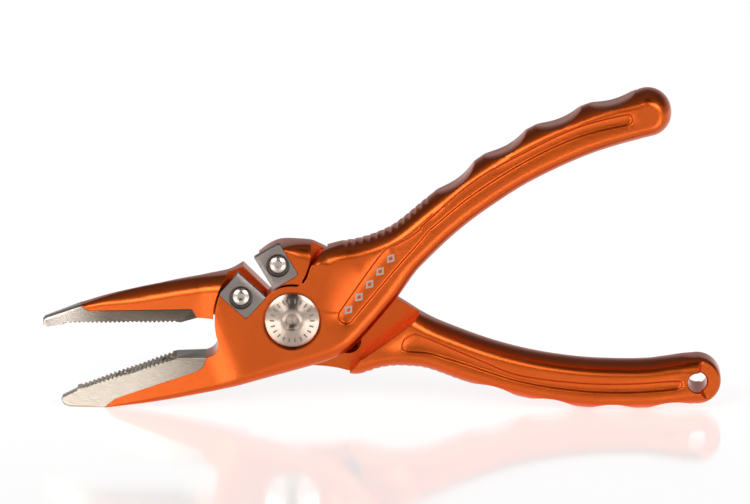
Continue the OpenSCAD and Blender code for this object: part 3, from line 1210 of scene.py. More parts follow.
def scallop_loops(
    crests: Sequence[Sequence[float]], side: int, radius: float, depth: float
) -> list[np.ndarray]:
    """The circles that mill finger scallops between crests.

    Args:
        crests: Rows of [x, z], in order along X.
        side: 1 where the cuts come from +Z and -1 from -Z.
        radius: The mill's radius.
        depth: How deep it cuts below a line between two crests.

    Returns:
        A closed circle for each scallop.
    """
    loops = []
    for a, b in zip(crests[:-1], crests[1:]):
        middle = (np.array(a) + np.array(b)) / 2
        run = np.array(b) - np.array(a)
        out = side * np.array([-run[1], run[0]]) / np.linalg.norm(run)
        loops.append(circle_loop(middle + out * (radius - depth), radius, 180))
    return loops


def grip_notches(
    outline: np.ndarray, low: float, high: float, upper: bool, pitch: float = 1.95, depth: float = 0.6
) -> list[np.ndarray]:
    """The small notches across an outer edge near the pivot.

    Args:
        outline: The half's outline rows.
        low: The first X of the row of notches.
        high: The last X.
        upper: Whether they are on the half's upper edge.
        pitch: The spacing along the edge.
        depth: How deep each is.

    Returns:
        A closed loop for each notch.
    """
    edge = outline[:, :2]
    normals = -inward_normals(edge)
    pick = (edge[:, 0] > low) & (edge[:, 0] < high) & ((normals[:, 1] > 0) == upper)
    line, out = edge[pick], normals[pick]
    if line[0, 0] > line[-1, 0]:
        line, out = line[::-1], out[::-1]
    run = np.concatenate([[0], np.cumsum(np.linalg.norm(np.diff(line, axis=0), axis=1))])
    loops = []
    for at in np.arange(pitch / 2, run[-1], pitch):
        p = np.array([np.interp(at, run, line[:, k]) for k in (0, 1)])
        n = np.array([np.interp(at, run, out[:, k]) for k in (0, 1)])
        n /= np.linalg.norm(n)
        t = np.array([n[1], -n[0]])
        loops.append(
            np.array(
                [
                    p + t * 0.85 + n * 0.35,
                    p + t * 0.3 - n * depth * 0.8,
                    p - n * depth,
                    p - t * 0.3 - n * depth * 0.8,
                    p - t * 0.85 + n * 0.35,
                ]
            )
        )
    return loops


def cutter_loop(side: int, start: float, length: float, width: float, extra: float = 0.0) -> np.ndarray:
    """A cutter's plan, in its half's closed position.

    Args:
        side: 1 for the front plate's cutter and -1 for the lug's.
        start: How far along the cutting line it starts.
        length: The length of its edge.
        width: Its width back from the edge.
        extra: How much larger the plan is all round.

    Returns:
        The closed loop, with rounded corners at the back.
    """
    r = 0.8
    low, high, deep = -extra, length + extra, width + extra
    rows = [[low, -extra], [high, -extra]]
    rows += [p[:2] for p in arc_line((high - r, deep - r), r, 0, 90, 0, 6)]
    rows += [p[:2] for p in arc_line((low + r, deep - r), r, 90, 180, 0, 6)]
    return from_cutter(np.array(rows), side, start)


def cutter_seat(side: int, start: float) -> np.ndarray:
    """The plan of a cutter's seat, with 0.05 mm of room all round."""
    return cutter_loop(side, start, CUTTER_LENGTH, CUTTER_WIDTH, 0.05)


def from_cutter(rows: np.ndarray, side: int, start: float) -> np.ndarray:
    """Moves [along the edge, back from it] rows to a half's closed position."""
    return EDGE_ALONG * (start + rows[:, :1]) - side * EDGE_ACROSS * (EDGE_GAP + rows[:, 1:2])


class PlierHalf:
    """What the two halves share: a milled blank, turned to rest and dressed."""

    body: Body
    node: str
    tilt: float
    channel_depth: ClassVar[float] = 0.55
    channel_wall: ClassVar[float] = 0.65
    seat_floor: ClassVar[float] = 3.25

    def blank(self) -> Blank:
        """The milled blank in the closed position."""
        raise NotImplementedError

    def sunk(self, loop: np.ndarray, *faces: Face) -> list[Cut]:
        """A shallow channel or panel with soft walls, milled into each of the faces."""
        return [Cut([loop], face, 0, 0.0, self.channel_wall, self.channel_depth) for face in faces]

    def build(self, finish: AnodisedAluminium) -> None:
        """Builds the half's frame with the given finish."""
        points, faces = self.blank().solid()
        mesh = make_mesh(self.node, at_rest(points, self.tilt), faces)
        new_piece(f"{self.node}_milled", mesh, self.body, finish.material(), [self.node])


@dataclass
class FrontHalf(PlierHalf):
    """The half with the front plate, the lower jaw and the upper handle."""

    body: Body = Body.FRONT
    node: str = "front_frame"
    tilt: float = FRONT_TILT
    head_bore: float = 7.25
    head_floor: float = 3.6

    def outline(self) -> np.ndarray:
        """The outline, from the insert's heel round by the belly and the handle's end."""
        seat = seat_line(LOWER_SEAT)
        belly = smooth_line(
            [
                [-52.6, -6.95, 0.2], [-47, -8.2, 0.7], [-41, -9.4, 1], [-35, -10.3, 1],
                [-28.7, -11.1, 1], [-22.6, -11.8, 1], [-13.2, -12.4, 1], [-3.9, -13, 1],
                [5.6, -13.3, 1], [9.3, -12.8, 1], [12.9, -11.7, 1], [19.1, -8.3, 1],
                [27.2, -3.2, 1], [32.8, 0.9, 1.1], [36.7, 3.1, 1.2], [44.4, 6.8, 1.25],
                [51.8, 9.7, 1.25], [59, 11.9, 1.25], [65.9, 13.7, 1.25], [72.8, 14.9, 1.25],
                [79.4, 15.7, 1.25], [86, 16.1, 1.3], [92.3, 16, 1.4], [98.6, 15.6, 1.5],
            ]
        )
        back = smooth_line(
            [
                [95, 27.9, 1.7], [87.5, 27.9, 1.75], [73, 26.8, 1.75], [57.5, 23.4, 1.75],
                [43.5, 18.5, 1.72], [38.1, 16.4, 1.68], [34.4, 14.9, 1.64], [30.8, 13.8, 1.58],
                [27.5, 13.4, 1.5], [24.3, 13.3, 1.45], [21.1, 13.5, 1.4], [18.5, 13.9, 1.3],
                [15.8, 14.1, 1.2],
                [13.2, 14.05, 1.0], [11.4, 13.7, 0.8], [10.2, 12.9, 0.5], [9.3, 12.1, 0.15],
            ]
        )
        seam = smooth_line(flat([[9.3, 12.1], [8.6, 11.4], [7.1, 9.4], [5.7, 8.35], [4, 8.12]]))
        under = flat(
            [EDGE_ALONG * 9 - EDGE_ACROSS * 0.6, EDGE_ALONG * 17.9 - EDGE_ACROSS * 0.6, [-15.25, 12.3]]
        )
        rows = seat + belly + arc_line((102, 21.3), HANDLE_END_R, -98, 98, 1.6, 36) + back + seam
        rows += arc_line((0, 0), 9.05, 63, 117, 0, 16) + under
        rows += arc_line((0, 0), 19.6, 142, 174, 0, 20) + arc_line((-23.1, 1.2), 3.6, 0, -95, 0, 14)
        return jaw_round(rows, 0.45, 0.62)

    def channel(self) -> np.ndarray:
        """The long channel along the handle, with a round far end."""
        top = smooth_line(flat([[37.9, 12.7], [54.5, 19.7], [69.8, 22.9], [84.7, 24.7], [96.9, 23.9]]), 1.0)
        end = arc_line((96.8, 22.25), 1.65, 84, -94, 0, 12)
        low = smooth_line(flat([[96.7, 20.6], [83.7, 21.6], [68.8, 19.8], [53.2, 15.8], [41.1, 11.1]]), 1.0)
        neck = smooth_line(flat([[41.1, 11.1], [39.3, 10.9], [37.9, 12.7]]), 0.4)
        return np.array(top + end + low + neck)[:, :2]

    def panel(self) -> np.ndarray:
        """The sunk panel beside the pivot, where the real one has its name."""
        left = smooth_line(flat([[11.6, -1.6], [26.8, 9.5], [31.5, 10.7], [35.6, 11.5], [41.3, 13.6]]), 0.8)
        right = smooth_line(flat([[41.3, 13.6], [40.4, 10.9], [28.3, 3.5], [14.8, -4.9]]), 0.8)
        end = arc_line((13.3, -3.25), 2.25, -42, -228, 0, 14)
        return np.array(left + right + end)[:, :2]

    def blank(self) -> Blank:
        """The milled blank in the closed position."""
        outline = self.outline()
        far = 60.0
        swept = region_loops(
            [
                circle_loop((0, 0), 20, 160),
                np.array(
                    [
                        [0, far], [12.6, far], [12.6, 17.2], [14, 14.2], [17.2, 11.2], [20.9, 8.6],
                        [29, 3.1], [33, 0.5], [37, -2], [37, -far], [0, -far],
                    ]
                ),
            ],
            [],
        )
        crests = [[43.5, 18.5], [57.5, 23.4], [73, 26.8], [87.5, 27.9], [102, 27.5]]
        through = region_loops(
            scallop_loops(crests, 1, 12.5, 1.7) + grip_notches(outline, 17.5, 42, True), []
        )
        return Blank(
            outline,
            jaw_height,
            jaw_height,
            cuts=[
                *self.sunk(self.channel(), Face.FRONT, Face.BACK),
                *self.sunk(self.panel(), Face.FRONT),
                Cut([circle_loop((0, 0), self.head_bore, 128)], Face.FRONT, self.head_floor, 0.35),
                Cut([cutter_seat(1, PLATE_CUTTER_START)], Face.FRONT, self.seat_floor, 0.1),
                Cut(swept, Face.BACK, -PLATE_FACE, 0.1),
                Cut([circle_loop((0, 0), 4.5)], Face.THROUGH, lip=0.0),
                Cut(through, Face.THROUGH, lip=0.14),
            ],
            creases=jaw_creases(),
        )


@dataclass
class RearHalf(PlierHalf):
    """The half with the rear plate, the lug, the upper jaw and the lower handle."""

    body: Body = Body.REAR
    node: str = "rear_frame"
    tilt: float = REAR_TILT
    pocket_width: float = 6.4
    pocket_floor: float = -4.95
    tab_height: float = 4.55
    tab_wall: float = 0.9

    def outline(self) -> np.ndarray:
        """The outline, from the jaw's tip along the insert's seat and round the handle."""
        seat = seat_line(UPPER_SEAT) + flat([[-50.4, 3.3], [-25.3, 3.55], [-24, 1.25], [-20.3, 1]])
        under = smooth_line(
            [
                [-19.5, 0.6, 0], [-19.2, -1.8, 0], [-17, -6, 0], [-13, -9.6, 0], [-7, -11.8, 0],
                [0, -12.8, 0], [6.7, -13.3, 0.3], [10.7, -13.9, 0.8], [13.7, -14.7, 1],
                [16, -14.95, 1], [18.3, -14.6, 1.1], [21.3, -13.8, 1.3], [24.4, -13.4, 1.45],
                [27.4, -13.4, 1.5], [31.9, -13.9, 1.6], [34.9, -14.7, 1.6], [37.9, -15.9, 1.6],
                [43.5, -18.1, 1.62], [57.5, -22.5, 1.62], [73, -25.6, 1.62], [88, -26.2, 1.5],
                [95.5, -25.8, 1.2],
            ]
        )
        back = smooth_line(
            [
                [98.6, -13.15, 1.4], [94.1, -13.6, 1.6], [89.5, -13.95, 1.75], [83.5, -13.9, 1.75],
                [74.4, -13.3, 1.75], [66.8, -12.2, 1.72], [60.8, -11, 1.68], [54.8, -9.4, 1.65],
                [48.8, -7.4, 1.62], [42.8, -5, 1.6], [36.8, -2.4, 1.5], [33, -0.4, 1.3],
                [30.9, 0.9, 1.1],
                [27.9, 2.9, 1], [19.1, 8.2, 0.6], [16, 10.7, 0.3], [13, 13.2, 0.2],
                [10.1, 16.2, 0.6], [7.1, 18.2, 1.0],
            ]
        )[:-1]
        lug = smooth_line(
            [
                [7.1, 18.2, 1.0], [5.3, 18.95, 1.0], [2.2, 19.2, 0.85], [-0.6, 19.1, 0.45],
                [-2.6, 18.7, 0.1], [-4.6, 17.95, 0], [-6.6, 16.8, 0],
            ]
        ) + flat([EDGE_ALONG * 17.6 + EDGE_ACROSS * 0.6])
        notch = flat([EDGE_ALONG * 8 + EDGE_ACROSS * 0.6, [-5.3, 6.1]])
        jaw = smooth_line(
            [
                [-12, 13.1, 0], [-15.8, 11.9, 1], [-21.9, 11.1, 1.15], [-28, 10.3, 1.2],
                [-34.1, 9.3, 1.3], [-40.2, 8.2, 1.3], [-46.3, 6.8, 1.1], [-53.4, 4.75, 0.9],
            ]
        )
        rows = seat + under + arc_line(LANYARD_AT, HANDLE_END_R, -98, 98, 1, 36) + back + lug + notch + jaw
        return jaw_round(rows, 0.85, 1.0)

    def channel(self) -> np.ndarray:
        """The long channel along the handle, closed at both ends."""
        points = [
            [27.7, -8.7], [27.2, -7.7], [28.0, -5.5], [30.4, -4.2], [33.0, -4.7], [47.2, -11.3],
            [57.1, -15.5], [72.3, -18.0], [85.3, -18.6], [96.9, -18.2], [98.3, -18.8],
            [98.4, -19.8], [97.1, -20.9], [85.2, -21.5], [72.3, -20.7], [57.1, -17.8],
            [42.1, -12.4], [38.8, -11.3], [34.3, -9.8], [29.2, -9.2], [27.7, -8.7],
        ]
        return np.array(smooth_line(flat(points), 0.8))[:, :2]

    def tab_edge(self) -> np.ndarray:
        """Where the handle's end is milled thinner round the lanyard hole."""
        edge = smooth_line(
            flat(
                [
                    [104.4, -9], [103.4, -12.4], [102.4, -15.2], [102.1, -18], [102.3, -20.8],
                    [103.2, -23], [104.4, -25], [105.6, -30],
                ]
            ),
            0.5,
        )
        return np.array(edge + flat([[120, -30], [120, -9]]))[:, :2]

    def blank(self) -> Blank:
        """The milled blank in the closed position."""
        outline = self.outline()
        far = 60.0
        lug = np.array(
            [[5.8, far], [5.3, 16.8], [4.6, 14], [3.6, 11.4], [2.9, 10.3]]
            + [p[:2] for p in arc_line((0, 0), 9.5, 72, 116, 0, 14)]
            + [EDGE_ALONG * 9.6 + EDGE_ACROSS * 0.6, EDGE_ALONG * 17.6 + EDGE_ACROSS * 0.6, [-9, far]]
        )
        swept = region_loops(
            [
                circle_loop((0, 0), 20, 160),
                np.array(
                    [
                        [0, -far], [13.8, -far], [14.2, -12.1], [17.8, -10.2], [20.7, -8.4],
                        [31.2, -1], [32.7, 0.6], [33, far], [0, far],
                    ]
                ),
            ],
            [lug],
        )
        crests = [[43.5, -18.1], [57.5, -22.5], [73, -25.6], [88, -26.2], [102.5, -25.4]]
        through = region_loops(
            scallop_loops(crests, -1, 13, 1.5) + grip_notches(outline, 17.5, 42, False), []
        )
        pocket = rounded_band((14, -7), (14.9, 4.6), self.pocket_width)
        tab = self.tab_edge()
        return Blank(
            outline,
            jaw_height,
            jaw_height,
            cuts=[
                Cut(swept, Face.FRONT, -PLATE_FACE, 0.12),
                *self.sunk(self.channel(), Face.FRONT, Face.BACK),
                Cut([pocket], Face.FRONT, self.pocket_floor, 0.1),
                Cut([circle_loop((0, 0), 8.5, 96)], Face.FRONT, -0.4, 0.0),
                Cut([cutter_seat(-1, LUG_CUTTER_START)], Face.FRONT, self.seat_floor, 0.1),
                Cut([tab], Face.FRONT, self.tab_height, 0.0, self.tab_wall),
                Cut([tab], Face.BACK, self.tab_height, 0.0, self.tab_wall),
                Cut([circle_loop((0, 0), 5.7, 96)], Face.BACK, 4.1, 0.2),
                Cut([circle_loop((0, 0), 3.5)], Face.THROUGH, lip=0.0),
                Cut([circle_loop(LANYARD_AT, LANYARD_R, 64)], Face.THROUGH, lip=0.3),
                Cut(through, Face.THROUGH, lip=0.14),
            ],
            creases=jaw_creases(),
        )


@dataclass
class JawInsert:
    """A steel insert with a serrated grip face, a smooth nose and two screws.

    Attributes:
        name: Its name.
        body: The body that it moves with.
        tilt: Its half's angle at rest.
        outline_rows: Its outline as rows of [x, z, w].
        grip_z: The height of its grip face in the closed position.
        into: 1 where its metal is above the grip face, and -1 where it is below.
        teeth_from: Where the teeth begin along X.
        teeth_to: Where they end.
        screws: The X of each screw.
        screw_depth: How deep the screws' counterbores are.
        nodes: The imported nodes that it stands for.
        screw_nodes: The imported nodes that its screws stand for.
        pitch: The spacing of the teeth.
        depth: Their depth.
        rows_across: How many grooves run along the jaw.
        bore_r: The radius of the screws' counterbores.
    """

    name: str
    body: Body
    tilt: float
    outline_rows: list[list[float]]
    grip_z: float
    into: float
    teeth_from: float
    teeth_to: float
    screws: tuple[float, float]
    screw_depth: float
    nodes: tuple[str, ...]
    screw_nodes: tuple[str, ...]
    pitch: float = 1.12
    depth: float = 0.55
    rows_across: int = 9
    bore_r: float = 2.05

    def groove(self, along_x: bool, length: float) -> bpy.types.Mesh:
        """One V groove's cutter, with its bottom towards the insert.

        Args:
            along_x: Whether the groove runs along the jaw or across it.
            length: The groove's length in millimetres.

        Returns:
            A closed prism at the origin.
        """
        half = self.pitch * 0.46
        above = -self.into * 0.5
        bottom = (0.0, self.into * self.depth)
        section = [(-half, above), (-half, 0.0), bottom, (half, 0.0), (half, above)]
        rows = []
        for end in (-length / 2, length / 2):
            for across, z in section:
                rows.append((end, across, z) if along_x else (across, end, z))
        return prism("groove", rows)

    def comb(self, along_x: bool) -> bpy.types.Mesh:
        """Every groove that runs one way, in the closed position."""
        length = abs(self.teeth_to - self.teeth_from)
        middle = (self.teeth_from + self.teeth_to) / 2
        if along_x:
            count = self.rows_across
            start = (middle, -(count - 1) / 2 * self.pitch, self.grip_z)
            spacing = (0.0, self.pitch, 0.0)
        else:
            count = int(length / self.pitch)
            start = (middle - (count - 1) / 2 * self.pitch, 0.0, self.grip_z)
            spacing = (self.pitch, 0.0, 0.0)
        return repeated(
            row_tree(),
            self.groove(along_x, length + 1 if along_x else 14),
            {"Count": count, "Start": [v * MM for v in start], "Spacing": [v * MM for v in spacing]},
        )

    def bores(self) -> list[bpy.types.Mesh]:
        """The counterbores that the screws sit in."""
        meshes = []
        for x in self.screws:
            loop = circle_loop((x, 0), self.bore_r, 40)
            ends = (-self.into, self.into * self.screw_depth)
            rows = [[p[0], p[1], self.grip_z + z] for z in ends for p in loop]
            meshes.append(prism("bore", rows))
        return meshes

    def build(self, steel: bpy.types.Material, polish: bpy.types.Material) -> None:
        """Builds the insert and its two screws.

        Args:
            steel: The insert's material.
            polish: The screws' material.
        """
        blank = Blank(
            np.array(self.outline_rows, float),
            jaw_height,
            jaw_height,
            rounding=1.5,
            least_round=0.1,
            creases=jaw_creases(),
            steps=5,
        )
        points, faces = blank.solid()
        body = make_mesh("insert", points, faces)
        cut = cut_away(body, [self.comb(False), self.comb(True), *self.bores()])
        cut.transform(Matrix.Rotation(-self.tilt, 4, "Y"))
        tidy_mesh(cut)
        new_piece(f"{self.name}_ground", cut, self.body, steel, self.nodes)
        head = ButtonScrew(1.95, 1.1, 0.95, 0.8).mesh()
        head.transform(Matrix.Rotation(math.pi / 2 * self.into, 4, "X"))
        seat = self.grip_z + self.into * (self.screw_depth - 0.05)
        pair = repeated(
            row_tree(),
            head,
            {
                "Count": 2,
                "Start": [self.screws[0] * MM, 0.0, seat * MM],
                "Spacing": [(self.screws[1] - self.screws[0]) * MM, 0.0, 0.0],
                "Finish": polish,
            },
        )
        pair.transform(Matrix.Rotation(-self.tilt, 4, "Y"))
        tidy_mesh(pair, 35)
        new_piece(f"{self.name}_screws", pair, self.body, polish, self.screw_nodes)


@dataclass
class ButtonScrew:
    """A button head screw with a hex socket, drawn with its seat at y = 0 and its crown at -Y."""

    head_r: float
    head_h: float
    socket_r: float
    socket_depth: float = 1.2

    def crown(self, points: np.ndarray) -> np.ndarray:
        """The domed head's height at each [x, z]."""
        share = np.clip(np.linalg.norm(points, axis=1) / self.head_r, 0, 1)
        rim = 0.42 * self.head_h
        return rim + (self.head_h - rim) * np.sqrt(np.maximum(1 - share**2 * 0.94, 0))

    def mesh(self) -> bpy.types.Mesh:
        """The screw's closed mesh, in metres."""
        shares = (0.3, 0.45, 0.58, 0.7, 0.8, 0.88, 0.94, 0.975)
        hexagon = circle_loop((0, 0), self.socket_r, 6)
        under = Cut([circle_loop((0, 0), self.head_r * 0.55, 32)], Face.BACK, 0.0, 0.0)
        blank = Blank(
            np.array([[p[0], p[1], 1.0] for p in circle_loop((0, 0), self.head_r, 48)]),
            self.crown,
            lambda points: np.full(len(points), 0.02),
            rounding=0.12,
            least_round=0.015,
            cuts=[Cut([hexagon], Face.FRONT, self.head_h - self.socket_depth, 0.08), under],
            creases=[ring_line(self.head_r * share, 48) for share in shares],
            steps=3,
        )
        points, faces = blank.solid()
        return make_mesh("screw", points, faces)


@dataclass
class LineCutter:
    """A carbide blade with its button head screw, on the front plate or on the lug."""

    name: str
    body: Body
    tilt: float
    side: int
    start: float
    nodes: tuple[str, ...]
    screw_nodes: tuple[str, ...]
    length: float = CUTTER_LENGTH
    width: float = CUTTER_WIDTH
    thickness: float = 3.1
    screw_in: float = 4.2
    bevel: float = 1.05
    bevel_depth: float = 0.4

    def build(self, carbide: bpy.types.Material, polish: bpy.types.Material) -> None:
        """Builds the blade and its screw.

        Args:
            carbide: The blade's material.
            polish: The screw's material.
        """
        half = self.thickness / 2
        middle_y = -HALF_THICKNESS + half
        plan = cutter_loop(self.side, self.start, self.length, self.width)
        outline = np.column_stack([plan, np.zeros(len(plan))])
        screw = from_cutter(np.array([[self.length / 2, self.screw_in]]), self.side, self.start)[0]
        strip = from_cutter(
            np.array(
                [
                    [-0.5, -0.5], [self.length + 0.5, -0.5],
                    [self.length + 0.5, self.bevel], [-0.5, self.bevel],
                ]
            ),
            self.side,
            self.start,
        )

        def slope(points: np.ndarray) -> np.ndarray:
            """The bevel's height at each [x, z]."""
            back = (points @ EDGE_ACROSS) * -self.side - EDGE_GAP
            return half - self.bevel_depth * np.clip(1 - back / self.bevel, 0, 1)

        def level(points: np.ndarray) -> np.ndarray:
            """The flat faces' height at each [x, z]."""
            return np.full(len(points), half)

        blank = Blank(
            outline,
            level,
            level,
            least_round=0.09,
            cuts=[
                Cut([strip], Face.FRONT, slope, 0.0),
                Cut([circle_loop(screw, 2.95, 64)], Face.FRONT, half - 1.9, 0.12),
                Cut([circle_loop(screw, 1.6, 32)], Face.THROUGH, lip=0.0),
            ],
            steps=3,
        )
        points, faces = blank.solid()
        points[:, 1] += middle_y
        mesh = make_mesh("blade", at_rest(points, self.tilt), faces)
        new_piece(f"{self.name}_ground", mesh, self.body, carbide, self.nodes)
        head = ButtonScrew(2.4, 1.65, 0.78).mesh()
        head.transform(Matrix.Rotation(math.radians(17 * self.side), 4, "Y"))
        head.transform(Matrix.Translation(Vector((screw[0], -HALF_THICKNESS + 1.88, screw[1])) * MM))
        head.transform(Matrix.Rotation(-self.tilt, 4, "Y"))
        tidy_mesh(head, 35)
        new_piece(f"{self.name}_screw_head", head, self.body, polish, self.screw_nodes)


@dataclass
class PivotStack:
    """The pivot's bolt and nut, with a ring of plain index marks on the bolt's face."""

    body: Body = Body.REAR
    head_r: float = 7.1
    head_front: float = -6.45
    head_back: float = -4.05
    socket_across: float = 3.0
    socket_depth: float = 3.0
    marks: int = 22
    marks_r: float = 5.1

    def head_mesh(self) -> bpy.types.Mesh:
        """The bolt's turned head, with its socket."""
        half = (self.head_back - self.head_front) / 2
        middle = (self.head_back + self.head_front) / 2

        def crown(points: np.ndarray) -> np.ndarray:
            """A chamfered rim, a domed face and a shallow dish round the socket."""
            r = np.linalg.norm(points, axis=1)
            return half + np.interp(r, HEAD_R, HEAD_DROP)

        rim = circle_loop((0, 0), self.head_r, 128)
        hexagon = turned(circle_loop((0, 0), self.socket_across / math.sqrt(3), 6), math.radians(8))
        blank = Blank(
            np.column_stack([rim, np.zeros(len(rim))]),
            crown,
            lambda points: np.full(len(points), half),
            least_round=0.05,
            cuts=[Cut([hexagon], Face.FRONT, half - self.socket_depth + 1.2, 0.16)],
            creases=[ring_line(r, 128) for r in HEAD_R[1:-1]],
            steps=3,
        )
        points, faces = blank.solid()
        points[:, 1] += middle
        return make_mesh("bolt head", points, faces)

    def nut_mesh(self) -> bpy.types.Mesh:
        """The nut's flange, with two holes for a pin spanner."""
        low, high, face_r = 4.5, 6.25, 5.2
        half = (high - low) / 2
        rim = circle_loop((0, 0), 5.6, 96)

        def crown(points: np.ndarray) -> np.ndarray:
            """A flat face with a chamfered rim."""
            return half - np.clip(np.linalg.norm(points, axis=1) - face_r, 0, 1) * 0.8

        holes = [circle_loop((x, 0), 0.6, 24) for x in (-3.9, 3.9)]
        end = circle_loop((0, 0), 2.5, 48)
        blank = Blank(
            np.column_stack([rim, np.zeros(len(rim))]),
            lambda points: np.full(len(points), half),
            crown,
            least_round=0.05,
            cuts=[Cut([hole], Face.BACK, -half + 0.45, 0.08) for hole in holes]
            + [Cut([end], Face.BACK, half - 0.3, 0.1)],
            creases=[ring_line(face_r, 96)],
            steps=3,
        )
        points, faces = blank.solid()
        points[:, 1] += (low + high) / 2
        return make_mesh("nut", points, faces)

    @staticmethod
    def mark_mesh() -> bpy.types.Mesh:
        """One index mark: a thin bar with round ends, along X, that follows the head's cone."""
        band = rounded_band((-0.38, 0), (0.38, 0), 0.42)
        rows = [[p[0], y + HEAD_CONE * p[0], p[1]] for y in (-0.03, 0.03) for p in band]
        return prism("mark", rows)

    def build(self, turned_steel: bpy.types.Material, etched: bpy.types.Material) -> None:
        """Builds the bolt's head, its marks and the nut.

        Args:
            turned_steel: The material of the bolt and the nut.
            etched: The marks' material.
        """
        new_piece(
            "pivot_bolt_turned", self.head_mesh(), self.body, turned_steel, ["pivot_bolt"]
        )
        new_piece("pivot_nut_turned", self.nut_mesh(), self.body, turned_steel, ["pivot_nut"])
        ring = repeated(
            ring_tree(),
            self.mark_mesh(),
            {
                "Count": self.marks,
                "Radius": self.marks_r * MM,
                "Depth": (self.head_front + 0.49) * MM,
                "Finish": etched,
            },
        )
        tidy_mesh(ring)
        new_piece("pivot_index_marks", ring, self.body, etched)


@dataclass
class PanelMarks:
    """A row of plain lozenges, cut through the dye in the front handle's panel."""

    body: Body = Body.FRONT
    tilt: float = FRONT_TILT
    count: int = 5
    first: tuple[float, float] = (14.4, -1.9)
    last: tuple[float, float] = (28.8, 7.3)
    length: float = 3.0
    width: float = 2.3
    floor_y: float = -5.8

    def build(self, bare: bpy.types.Material) -> None:
        """Builds the row.

        Args:
            bare: The material of the bare metal.
        """
        run = np.array(self.last) - np.array(self.first)
        angle = math.atan2(run[1], run[0])
        shape_rows = np.array(
            [[-self.length / 2, 0], [0, -self.width / 2], [self.length / 2, 0], [0, self.width / 2]]
        )
        inner = shape_rows * 0.5
        plan, hole = turned(shape_rows, angle), turned(inner, angle)
        rows = [[p[0], y, p[1]] for y in (-0.03, 0.03) for p in (*plan, *hole)]
        faces = []
        for i in range(4):
            j = (i + 1) % 4
            faces += [
                [i, j, 4 + j, 4 + i],
                [8 + i, 12 + i, 12 + j, 8 + j],
                [i, 8 + i, 8 + j, j],
                [4 + i, 4 + j, 12 + j, 12 + i],
            ]
        step = run / (self.count - 1)
        marks = repeated(
            row_tree(),
            make_mesh("lozenge", np.array(rows), faces),
            {
                "Count": self.count,
                "Start": [self.first[0] * MM, (self.floor_y - 0.01) * MM, self.first[1] * MM],
                "Spacing": [step[0] * MM, 0.0, step[1] * MM],
                "Finish": bare,
            },
        )
        marks.transform(Matrix.Rotation(-self.tilt, 4, "Y"))
        tidy_mesh(marks)
        new_piece("panel_lozenges", marks, self.body, bare)


@dataclass
class ReturnSpring:
    """The spring that opens the jaws, in its pocket in the rear plate."""

    body: Body = Body.REAR
    low: tuple[float, float] = (14.0, -9.15)
    lean: float = math.atan2(0.9, 11.6)
    middle_y: float = 2.55
    length: float = 11.3
    radius: float = 2.3
    wire: float = 0.35
    turns: float = 8.5

    def build(self, steel: bpy.types.Material) -> None:
        """Builds the spring at its rest length, which nothing here shortens as the jaws close.

        Args:
            steel: Its material.
        """
        coil = grow(
            coil_tree(),
            {
                "Turns": self.turns,
                "Radius": (self.radius - self.wire) * MM,
                "Wire": self.wire * MM,
                "Length": (self.length - 2 * self.wire) * MM,
                "Finish": steel,
            },
        )
        coil.transform(Matrix.Translation(Vector((0, 0, self.wire * MM))))
        coil.transform(Matrix.Rotation(self.lean, 4, "Y"))
        coil.transform(Matrix.Translation(Vector((self.low[0], self.middle_y, self.low[1])) * MM))
        coil.transform(Matrix.Rotation(-REAR_TILT, 4, "Y"))
        tidy_mesh(coil, 60)
        piece = new_piece("return_spring_coiled", coil, self.body, steel, ["return_spring"])
        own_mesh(piece)


# Studio ----------------------------------------------------------------------------------------


def grey_ramp(
    tree: bpy.types.NodeTree, value: bpy.types.NodeSocket, stops: Sequence[tuple[float, float]]
) -> bpy.types.NodeSocket:
    """Maps a value to greys.

    Args:
        tree: The node tree.
        value: The output to map.
        stops: Pairs of position and level: the first, the last, and those between them.

    Returns:
        The mapped output.
    """
    ramp = add_node(tree, "ShaderNodeValToRGB", {0: value})
    elements = ramp.color_ramp.elements
    for number, (at, level) in enumerate(stops):
        stop = elements[number] if number < 2 else elements.new(at)
        stop.position, stop.color = at, (level, level, level, 1.0)
    return ramp.outputs[0]


